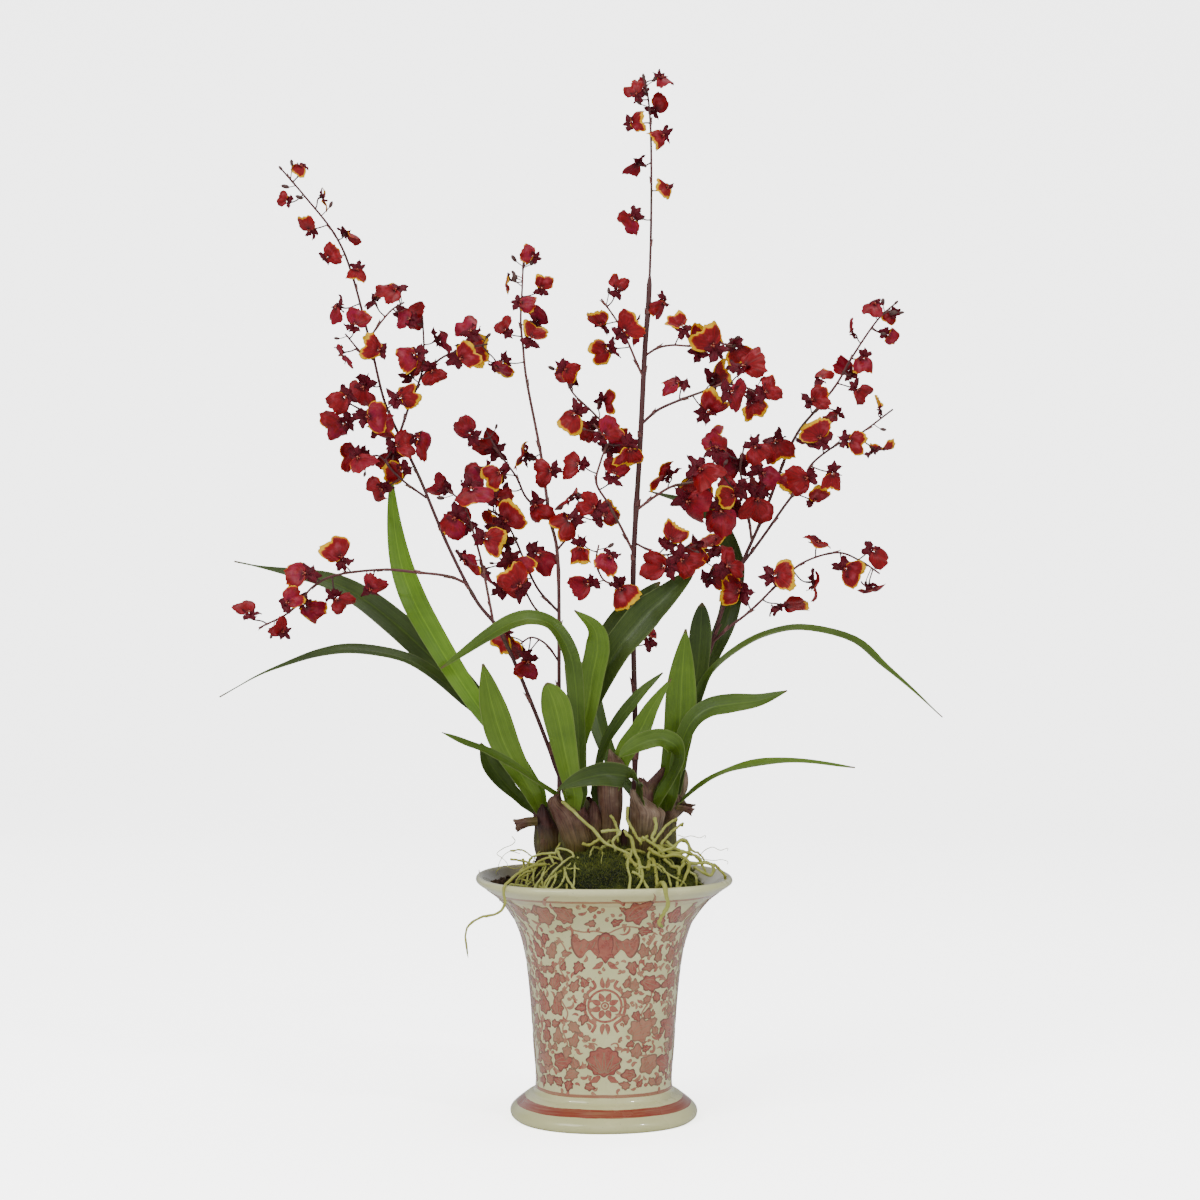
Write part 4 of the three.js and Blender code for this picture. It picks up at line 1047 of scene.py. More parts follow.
def greenness(x, y):
    """1 on living moss, falling to 0 among the dead bits on the left."""
    return smooth_step(x + 14 * ripple(x, y, 16.0, 5.0), -52, -26)


def moss():
    heap = Heap()
    share = np.linspace(1, 0.002, MOSS_RINGS)[:, None]
    angles = circle(MOSS_ROUND)
    edge = MOSS_RADIUS * (1 + 0.02 * np.sin(5 * angles) + 0.015 * np.sin(11 * angles))
    x = MOSS_CENTRE_X + share * edge * np.cos(angles)
    y = share * edge * np.sin(angles)
    top = stacked(x, y, moss_surface(x, y))
    skirt = top[:1].copy()
    skirt[..., 2] = SOIL_TOP - 1
    grid = np.concatenate([skirt, top])
    flat = grid[..., :2].reshape(-1, 2)
    heap.add_rings(grid, 0 * flat, mood=greenness(*flat.T))
    seeded = np.random.RandomState(12)
    reach = np.sqrt(seeded.rand(MOSS_SHOOTS)) * (MOSS_RADIUS - 0.5)
    around = seeded.rand(MOSS_SHOOTS) * 2 * math.pi
    x, y = MOSS_CENTRE_X + reach * np.cos(around), reach * np.sin(around)
    foot = stacked(x, y, moss_surface(x, y) - 0.4)
    steep = (reach / MOSS_RADIUS)[:, None] ** 2.2
    out = stacked(np.cos(around), np.sin(around), 0)
    lean = units(UP * (1.15 - steep) + out * steep + 0.55 * seeded.randn(MOSS_SHOOTS, 3))
    long = seeded.uniform(1.8, 5.6, (MOSS_SHOOTS, 1))
    thick = seeded.uniform(0.32, 0.8, (MOSS_SHOOTS, 1))
    across = units(np.cross(lean, vector(0.3, 0.5, 0.8)))
    third = np.cross(lean, across)
    corners = [foot + thick * (math.cos(a) * across + math.sin(a) * third) for a in circle(3)]
    shoots = np.stack(corners + [foot + lean * long], 1).reshape(-1, 3)
    base = np.arange(MOSS_SHOOTS)[:, None, None] * 4
    faces = (base + np.array([[0, 1, 3], [1, 2, 3], [2, 0, 3], [2, 1, 0]])).reshape(-1, 3)
    local = np.tile([[0, 0], [1, 0], [0.5, 0], [0.5, 1]], (MOSS_SHOOTS, 1))
    heap.add(shoots, faces, local, mood=np.repeat(greenness(x, y), 4))
    return heap


moss_piece = moss().build("moss_cushion", [moss_finish()], crease=80)
settle(moss_piece, "moss", "moss")

# %% [markdown]
# ## Pseudobulbs
# The swollen stem bases are flattened eggs with shallow lengthwise grooves, olive green where they
# show between the sheaths. Each is a ring pushed up a profile, with the ring itself waved for the
# grooves.

# %% Swell the pseudobulbs
BULBS = [[-44, 0, 0.92], [-24, -14, 0.96], [2, -4, 1], [31, -10, 0.97], [47, 7, 0.93],
         [-17, 24, 0.95], [35, 27, 0.92]]
BULB_RADIUS = 12
BULB_DEPTH = 0.7
BULB_FOOT = 203
BULB_TOP = 255
BULB_OUTLINE = [[0.35, 0], [0.72, 0.03], [0.94, 0.2], [0.99, 0.36], [0.9, 0.6], [0.7, 0.8], [0.34, 0.95],
                [0.05, 1]]


def bulb_finish():
    finish = Finish("pseudobulb skin")
    place = finish.place()
    streaks = noise(place.scaled((420, 420, 30)), 1)
    colour = ramp(streaks, [(0.3, (0.06, 0.055, 0.016)), (0.55, (0.135, 0.13, 0.035)),
                            (0.78, (0.235, 0.2, 0.07))])
    stains = ramp(noise(place, 70), [(0.5, 0), (0.68, 0.75)])
    return finish.done(blended(stains, colour, (0.07, 0.03, 0.026)), 0.55, (streaks, 0.4, 0.0006))


def pseudobulb(x, y, share):
    outline = curve_points(np.array(BULB_OUTLINE), np.linspace(0, 1, 26))
    angles = circle(36)
    groove = 1 - 0.035 * np.cos(9 * angles) * np.sin(np.pi * outline[:, 1:])
    radius = outline[:, :1] * BULB_RADIUS * groove
    height = BULB_FOOT + outline[:, 1:] * (BULB_TOP - BULB_FOOT) * share
    heap = Heap()
    heap.add_rings(stacked(x + radius * np.cos(angles), y + radius * np.sin(angles) * BULB_DEPTH, height))
    return heap


bulb_skin = bulb_finish()
for number, entry in enumerate(BULBS, 1):
    piece = pseudobulb(*entry).build(f"bulb_{number}", [bulb_skin])
    settle(piece, "bulb", f"pseudobulb_{number}")

# %% [markdown]
# ## Papery sheaths
# Old leaf bases dry to thin purple-brown paper that clasps the bulbs. Some are torn open, some lean
# over their neighbour, and some end in a curled tube. One bent sheet repeated seven times looks
# like a row of cups, so each sheath has its own outline: for a few heights, how far its left and
# right edge lie from the middle of its bulb and how far its crest stands out. A smooth curve
# through those rows gives the sheet, and ribs and wavy edges are laid on top as real relief.

# %% Mix the sheath paper
def sheath_finish():
    finish = Finish("papery sheath")
    local, mood = finish.local(), finish.mood()
    fibres = noise(local.scaled((24, 1.6, 1)), 1, detail=5)
    blotch = noise(finish.place(), 95)
    colour = ramp(mood * 0.75 + blotch * 1.1 - 0.42,
                  [(0.1, (0.046, 0.0085, 0.0075)), (0.35, (0.112, 0.033, 0.023)),
                   (0.6, (0.195, 0.104, 0.064)), (0.9, (0.39, 0.27, 0.19))])
    olive = ramp(local.axis("Y") + (fibres - 0.5) * 0.5, [(0.14, 0.8), (0.55, 0)])
    colour = blended(olive, colour, (0.155, 0.122, 0.026))
    dark = ramp(fibres, [(0.36, 0.6), (0.5, 0)])
    colour = blended(dark, colour, (0.04, 0.015, 0.014))
    pale = ramp(fibres, [(0.54, 0), (0.74, 0.8)]) * mood
    colour = blended(pale, colour, (0.36, 0.25, 0.17))
    return finish.done(colour, 0.42, (fibres, 0.8, 0.0009))

# %% Shape the sheaths
# One sheet: the way it faces in degrees, its bulb, its tone, and its rows from the foot up, each with
# height, left edge, right edge and how far the crest stands out.
SHEATHS = {
    1: [
        (182, 0, 0.3, [[212, -6, 5, 4], [220, -7, 6, 7], [230, -5, 5, 11.5], [238, -2, 3, 13]]),
    ],
    2: [
        (268, 0, 0.06, [[209, -5, 13, 10], [216, -6.5, 13.5, 12], [222, -7.5, 12, 13], [228, -8.3, 9.5, 13],
          [234, -10, 5, 13], [240, -12, 2, 12.5], [246, -10.5, -1, 11.5], [254, -8, -6, 10]]),
        (256, 0, 0.46, [[209, -6, 7, 10], [218, -6, 8, 12], [226, -2, 8, 12], [231, 3, 6, 10]]),
    ],
    3: [
        (266, 1, 0.46, [[209, -5, 10, 11], [217, -6, 13, 14], [222, -8.7, 15, 15], [228, -10.5, 13, 15.5],
          [234, -13, 12, 16], [240, -16, 10, 16], [246, -18.5, 3, 15.5], [251, -20, -5, 15],
          [255, -18, -9, 14], [259, -11.5, -9.5, 13]]),
        (280, 1, 0.24, [[214, -6, 14, 10], [228, -4, 14, 11], [240, 0, 11, 11], [248, 4, 8, 10]]),
    ],
    4: [
        (270, 2, 0.52, [[212, -4, 9, 12], [220, -4.5, 9.5, 12.5], [230, -4.5, 10.5, 13.5],
          [240, -4.5, 12, 15], [250, -6, 13, 16.5], [260, -7, 13, 17], [268, -6, 12.5, 17],
          [276, -3, 12, 16.5]]),
        (268, 2, 0.34, [[214, -19, -3, 13], [224, -19, -3, 14], [234, -18, -3, 14.5], [241, -16.5, -4, 14],
          [247, -14, -6, 13], [252, -11, -9, 12]]),
        (270, 2, 0.8, [[266, -2, 13, 21], [272, -1, 15, 22], [278, 0, 16, 23], [285, 1, 12.5, 23],
          [290, 1.5, 7, 22], [294, 1.8, 3, 21]]),
        (270, 2, 0.02, [[204, 2, 24, 2], [212, 4, 23, 3], [219, 6, 21, 3], [225, 8, 18, 2],
          [229, 10, 14, 1]]),
    ],
    5: [
        (268, 3, 0.8, [[212, -5, 6, 12], [222, -7.5, 10.5, 14], [230, -9, 14.5, 15], [238, -9.7, 17, 15.5],
          [244, -9.8, 17.5, 15.5], [250, -9.8, 9.5, 15], [256, -9.7, 1, 14], [262, -9.6, -6, 13]]),
        (276, 3, 0.36, [[214, -7, 8, 9], [236, -8, 9, 10.5], [252, -6, 8, 10], [262, -5, 7, 8],
          [271, -6, 0, 7]]),
        (270, 3, 0.3, [[252, -5, 6, 6], [260, -2, 9, 6], [267, 3, 13, 6], [273, 9, 16.5, 6],
          [279, 14, 17.5, 6]]),
    ],
    6: [
        (272, 4, 0.68, [[216, -9, -3, 12], [224, -7, -1, 13], [230, -4, 3, 14], [236, -1.5, 9, 15],
          [241, 0, 15, 15.5], [246, 2, 19, 15.5], [250, 4, 18.5, 15], [254, 8, 15, 14], [257, 10, 12, 13]]),
        (290, 4, 0.45, [[212, -8, 5, 8], [228, -8, 5, 9.5], [242, -4, 6, 9], [252, 0, 5, 8]]),
    ],
    7: [
        (10, 4, 0.55, [[212, -6, 5, 5], [224, -6, 6, 6.5], [234, -5, 6, 8], [243, -3, 5, 10]]),
        (272, 4, 0.97, [[250, 7, 14, 3], [258, 9, 19.5, 3], [266, 11, 21, 4], [273, 13, 20, 5],
          [279, 15, 17, 6]]),
    ],
    8: [
        (92, 5, 0.45, [[208, -10, 8, 12], [219, -12, 8, 14], [229, -11, 11, 15], [239, -6, 14, 15],
          [248, 3, 15, 15], [255, 9, 12, 14]]),
        (75, 5, 0.25, [[210, -8, 12, 9], [228, -7, 13, 11], [244, -8, 8, 10], [252, -8, -2, 9]]),
    ],
    9: [
        (80, 6, 0.8, [[208, -9, 12, 12], [222, -11, 13, 14], [235, -12, 11, 14], [246, -9, 5, 13],
          [256, -7, -2, 12]]),
        (108, 6, 0.5, [[208, -6, 12, 10], [226, -5, 14, 12], [240, 1, 13, 12], [251, 7, 11, 11]]),
    ],
}
# Sheaths that end in a curled tube: half width, tone, and the line down its middle.
CURLED_TIPS = {
    1: (4.5, 0.62, [[-53, -12, 236], [-60, -13, 235.5], [-65, -13, 234], [-70, -13, 232.5]]),
    6: (4.2, 0.6, [[58, -8, 248], [63, -8, 247], [67, -8, 246], [71, -8, 244.5]]),
}
SHEATH_ROWS = 26
SHEATH_COLUMNS = 25
SHEATH_WRAP = 1.2


def sheath_grid(rng, facing, bulb, rows):
    x, y, _ = BULBS[bulb]
    t = np.linspace(0, 1, SHEATH_ROWS)
    height, left, right, out = curve_points(rows, t).T[..., None]
    half = np.maximum((right - left) / 2, 0.4)
    t = t[:, None]
    s = np.linspace(-1, 1, SHEATH_COLUMNS)[None]
    phase = rng.uniform(0, 6.3)
    across = (left + right) / 2 + half * np.sin(s * SHEATH_WRAP) / math.sin(SHEATH_WRAP)
    back = half * 0.8 * (1 - np.cos(s * SHEATH_WRAP)) / (1 - math.cos(SHEATH_WRAP))
    ribs = 0.28 * np.sin(across * 2.1 + phase) + 0.2 * np.sin(across * 4.3 + 2 * phase + 2 * t)
    folds = rng.uniform(0.5, 1.1) * np.sin(across * 0.55 + 3 * t + phase) * (0.3 + 0.7 * t)
    wavy = 1.3 * np.sin(t * rng.uniform(9, 14) + phase + 2 * s) * np.abs(s) ** 4 * (0.3 + 0.7 * t)
    away = out - back + ribs + folds + wavy
    torn = 1.3 * np.sin(s * 5 + phase) * t**4 + 0.7 * np.sin(s * 13 + 2 * phase) * t**6
    angle = math.radians(facing)
    return stacked(x + away * math.cos(angle) - across * math.sin(angle),
                   y + away * math.sin(angle) + across * math.cos(angle),
                   height + torn * np.minimum(half / 6, 1))


def curled_tip(half, line):
    t = np.linspace(0, 1, 18)
    line = curve_points(line, t)[:, None]
    along = directions(line[:, 0])[:, None]
    side = units(np.cross(along, UP))
    turn = np.radians(np.linspace(60, 385, 33))[None, :, None]
    girth = half * (0.75 + 0.2 * t + 0.22 * t**7)[:, None, None] * (1 + 0.06 * np.sin(5 * turn + 3 * t[0]))
    ragged = 0.9 * (t**9)[:, None, None] * np.sin(4 * turn)
    return line + girth * (np.cos(turn) * side + np.sin(turn) * np.cross(side, along)) + along * ragged


paper_brown = sheath_finish()
for number, sheets in SHEATHS.items():
    rng = random.Random(300 + number)
    heap = Heap()
    for facing, bulb, tone, rows in sheets:
        heap.add(*sheet(sheath_grid(rng, facing, bulb, rows), 0.4), mood=tone)
    if number in CURLED_TIPS:
        half, tone, line = CURLED_TIPS[number]
        heap.add(*sheet(curled_tip(half, line), 0.4), mood=tone)
    piece = heap.build(f"papery_sheath_{number}", [paper_brown], crease=70)
    settle(piece, "sheath", f"sheath_{number}")

# %% [markdown]
# ## Leaves
# A strap leaf is folded along its midrib, widest past its middle, and ends in a point. The blade
# is swept along a curve: at each station a row of points runs across it, raised towards the edges.
# It is a little thicker at the midrib. Below the first station the blade narrows and slips into
# the sheath, as real leaf bases do. Veins run the whole length, so the pattern is stretched along
# the leaf's own map; the young leaves are bright and the older ones dark.

# %% Mix the leaf greens
def leaf_finish(name, deep, body, light):
    finish = Finish(name)
    local = finish.local()
    along = local.axis("Y")
    veins = noise(local.scaled((34, 0.9, 1)), 1, detail=3)
    fine = noise(local.scaled((130, 2, 1)), 1, detail=2)
    drift = noise(finish.place(), 24, detail=3)
    colour = ramp(veins * 0.45 + drift * 0.55, [(0.34, deep), (0.5, body), (0.66, light)])
    away = abs(local.axis("X") - 0.5)
    rib = ramp(away, [(0.008, 0.4), (0.03, 0)])
    colour = blended(rib, colour, tuple(1.4 * c for c in light))
    edge = ramp(away, [(0.465, 0), (0.497, 0.45)])
    colour = blended(edge, colour, (0.3, 0.36, 0.12))
    base = ramp(along, [(0, 0.5), (0.1, 0)])
    colour = blended(base, colour, (0.2, 0.25, 0.06))
    tip = ramp(along + fine * 0.02, [(0.985, 0), (1, 0.8)])
    colour = blended(tip, colour, (0.16, 0.1, 0.04))
    return finish.done(colour, ramp(fine, [(0.3, 0.34), (0.7, 0.46)]), (veins + fine * 0.5, 0.3, 0.0005),
                       {"Specular IOR Level": 0.32, "Coat Weight": 0.05, "Coat Roughness": 0.18})


GREENS = {
    "bright": leaf_finish("young leaf", (0.108, 0.222, 0.014), (0.16, 0.318, 0.018), (0.225, 0.405, 0.034)),
    "fresh": leaf_finish("fresh leaf", (0.088, 0.162, 0.014), (0.134, 0.238, 0.018), (0.19, 0.31, 0.034)),
    "middle": leaf_finish("grown leaf", (0.058, 0.106, 0.011), (0.09, 0.16, 0.015), (0.132, 0.222, 0.027)),
    "dark": leaf_finish("old leaf", (0.03, 0.053, 0.007), (0.05, 0.086, 0.01), (0.082, 0.126, 0.018)),
}

# %% Sweep the leaves
# Each leaf: green, bulb it grows from, full width, then the route of its midrib. Some add the way
# the blade faces, where it is widest and how it tapers.
LEAF_FACING = [0, -0.86, 0.5]
LEAVES = [
    ["bright", 0, 21, [[-52, -5, 258], [-76, -5, 296], [-99, -3, 325], [-121, 2, 357], [-140, 7, 388],
      [-153, 12, 412], [-163, 14, 440], [-169, 16, 474], [-172, 18, 516]]],
    ["dark", 0, 23, [[-54, 6, 258], [-84, 12, 305], [-112, 20, 342], [-140, 28, 366], [-168, 36, 391],
      [-197, 44, 413], [-224, 48, 427], [-254, 51, 434], [-280, 54, 439], [-304, 56, 444]], LEAF_FACING,
      0.42, 1.7],
    ["dark", 0, 16, [[-56, -1, 256], [-92, 4, 312], [-114, 8, 333], [-140, 10, 354], [-164, 10, 366],
      [-200, 6, 372], [-228, 2, 369], [-256, -2, 360], [-278, -6, 351], [-306, -10, 335]], [0, -0.5, 0.87],
      0.42, 1.6],
    ["fresh", 0, 24, [[-56, -16, 257], [-66, -22, 275], [-79, -28, 300], [-88, -32, 330], [-95, -36, 362]]],
    ["middle", 1, 10, [[-37, -22, 258], [-54, -32, 270], [-70, -40, 282], [-91, -50, 294], [-107, -58, 301],
      [-125, -66, 310]], [0, -0.6, 0.8]],
    ["dark", 0, 16, [[-64, 3, 250], [-78, 2, 264], [-90, -1, 280], [-98, -5, 298]]],
    ["fresh", 1, 24, [[-23, -25, 257], [-27, -30, 275], [-33, -33, 305], [-38, -34, 328], [-45, -36, 347]],
      LEAF_FACING, 0.72, 0.55],
    ["fresh", 1, 20, [[-27, -11, 257], [-22, -12, 290], [-14, -13, 322], [-9, -15, 352], [-5, -18, 374],
      [-8, -23, 390], [-23, -30, 404]]],
    ["middle", 1, 18, [[-18, -18, 258], [-20, -21, 300], [-22, -24, 340], [-27, -28, 370], [-40, -32, 391],
      [-56, -35, 397], [-72, -37, 394], [-90, -40, 384], [-108, -44, 372], [-127, -50, 359]],
      [0, -0.6, 0.8]],
    ["dark", 1, 27, [[-20, -2, 258], [-23, -2, 290], [-17, -2, 318], [-5, -3, 345], [9, -4, 370],
      [21, -5, 385], [35, -6, 401], [48, -9, 413], [72, -12, 436]], LEAF_FACING, 0.72, 0.55],
    ["dark", 5, 20, [[-26, 18, 256], [-31, 22, 285], [-27, 25, 305], [-18, 27, 325], [-9, 29, 345],
      [-1, 30, 368], [7, 31, 385], [20, 33, 402], [33, 35, 414], [46, 37, 427]], LEAF_FACING, 0.7, 0.6],
    ["fresh", 4, 25, [[48, -9, 256], [54, -10, 276], [60, -13, 312], [62, -15, 350], [65, -19, 389]]],
    ["middle", 2, 10, [[-8, 6, 257], [-1, 6, 292], [11, 5, 314], [29, 2, 337], [47, -2, 354]]],
    ["fresh", 2, 17, [[6, -17, 258], [11, -19, 272], [15, -20, 286], [19, -21, 295], [29, -22, 309],
      [38, -24, 327], [53, -28, 350]]],
    ["middle", 3, 18, [[45, -20, 257], [54, -25, 272], [60, -32, 287], [56, -38, 298], [44, -43, 303],
      [30, -47, 300], [18, -49, 294], [11, -50, 289]], [-0.6, -0.7, 0.4], 0.7, 1],
    ["dark", 3, 19, [[29, -25, 257], [28, -38, 268], [19, -50, 274], [4, -56, 276.5], [-12, -61, 274.5],
      [-26, -64, 270], [-36.5, -66, 265]], [-0.7, -0.7, 0.1], 0.5, 1],
    ["middle", 4, 18, [[58, 0, 256], [67, 0, 302], [77, -1, 336], [87, -3, 355], [105, -8, 371],
      [129, -12, 384], [158, -17, 389], [197, -22, 380], [221, -26, 360], [245, -29, 340], [267, -31, 320]],
      [0, -0.25, 0.97], 0.5, 0.9],
    ["middle", 4, 17, [[54, -17, 257], [59, -21, 290], [68, -25, 314], [82, -28, 326], [100, -31, 330],
      [122, -34, 333], [144, -37, 341]]],
    ["fresh", 4, 13, [[61, -9, 251], [74, -14, 263], [90, -18, 273], [109, -24, 280], [131, -29, 284],
      [158, -34, 285], [197, -40, 281]], [0, -0.35, 0.94]],
    ["dark", 4, 17, [[56, 22, 257], [57, 28, 290], [61, 31, 315], [70, 33, 337], [88, 36, 368],
      [101, 40, 397], [106, 44, 425], [106, 48, 446], [93, 52, 476], [69, 56, 492], [37, 60, 502]]],
    ["dark", 4, 18, [[55, 9, 257], [64, 9, 300], [73, 8, 340], [77, 7, 375], [79, 8, 410]], LEAF_FACING, 0.8,
      0.6],
    ["middle", 5, 20, [[-19, 30, 257], [-21, 48, 310], [-22, 78, 345], [-24, 112, 358], [-28, 148, 342]]],
    ["dark", 5, 15, [[-30, 24, 257], [-34, 40, 275], [-37, 70, 290], [-38, 106, 292], [-40, 146, 276]]],
    ["middle", 6, 17, [[46, 33, 257], [58, 50, 292], [66, 82, 318], [70, 120, 322], [74, 154, 304]]],
    ["middle", 6, 16, [[24, 31, 256], [11, 44, 272], [-1, 64, 298], [-9, 92, 326], [-13, 122, 340],
      [-16, 150, 328]]],
]
LEAF_START = 0.55
LEAF_WIDEST = 0.6
LEAF_TAPER = 0.8
LEAF_FOLD = 0.28
LEAF_ROWS = 48
LEAF_COLUMNS = 11
LEAF_BASE_ROWS = 8
LEAF_BASE_Z = 241


def leaf_half(width, t, facing=LEAF_FACING, widest=LEAF_WIDEST, taper=LEAF_TAPER):
    """Half the blade's width at each station."""
    t = np.asarray(t, float)
    growing = LEAF_START + (1 - LEAF_START) * smooth_step(t, 0, widest)
    to_tip = np.clip((t - widest) / (1 - widest), 0, 1)
    narrowing = np.maximum(0.06, np.cos(to_tip * math.pi / 2).clip(0) ** taper)
    return width / 2 * np.where(t < widest, growing, narrowing)


def leaf(number, bulb, width, route, facing=LEAF_FACING, widest=LEAF_WIDEST, taper=LEAF_TAPER):
    t = np.linspace(0, 1, LEAF_ROWS)
    line = curve_points(route, t)
    half = leaf_half(width, t, facing, widest, taper)
    bulb_x, bulb_y, _ = BULBS[bulb]
    start = line[0]
    foot = vector(bulb_x + 0.45 * (start[0] - bulb_x), bulb_y + 0.45 * (start[1] - bulb_y), LEAF_BASE_Z)
    share = np.linspace(1, 1 / LEAF_BASE_ROWS, LEAF_BASE_ROWS)[:, None]
    line = np.vstack([start + (foot - start) * share, line])
    half = np.concatenate([half[0] * (1 - 0.45 * share[:, 0]), half])
    along = directions(line)
    across = units(np.cross(along, facing))
    face = units(np.cross(across, along))
    face = np.where(face[:, 1:2] > 0, -face, face)
    s = np.linspace(-1, 1, LEAF_COLUMNS)
    fold = LEAF_FOLD * np.abs(s) ** 1.15 * half[:, None]
    v = np.linspace(0, 1, len(line))
    wave = 0.45 * np.sin(v * 17 + number)[:, None] * np.sign(s) * np.abs(s) ** 3
    grid = (line[:, None] + across[:, None] * (s * half[:, None])[..., None]
            + face[:, None] * (fold + wave - 0.5)[..., None])
    thickness = 0.5 + 0.55 * (1 - np.abs(s)) ** 2
    heap = Heap()
    heap.add(*sheet(grid, np.broadcast_to(thickness, grid.shape[:2])), mood=(number * 0.37) % 1)
    return heap


for number, (green, *shape) in enumerate(LEAVES, 1):
    piece = leaf(number, *shape).build(f"strap_leaf_{number:02d}", [GREENS[green]])
    settle(piece, "leaf", f"leaf_{number:02d}")

# %% [markdown]
# ## Aerial roots
# Pale yellow-green roots push out at the foot of the bulbs, arch over the moss with small kinks
# and dive into it; a few slip over the rim and hang. Each is a rod along a wandering curve whose
# height follows the mound, with an arch added, so none floats and none is buried all the way.

# %% Mix the root skin
def root_finish():
    finish = Finish("aerial root")
    place = finish.place()
    colour = ramp(noise(place, 260) * 0.5 + finish.mood() * 0.5,
                  [(0.2, (0.26, 0.2, 0.045)), (0.4, (0.43, 0.42, 0.08)), (0.62, (0.48, 0.51, 0.12)),
                   (0.88, (0.64, 0.66, 0.24))])
    tip = ramp(finish.local().axis("Y"), [(0.9, 0), (0.97, 0.8)])
    return finish.done(blended(tip, colour, (0.22, 0.27, 0.07)), 0.55, (noise(place, 900), 0.35, 0.0004),
                       {"Subsurface Weight": 0.08, "Subsurface Radius": (0.0012, 0.001, 0.0005)})

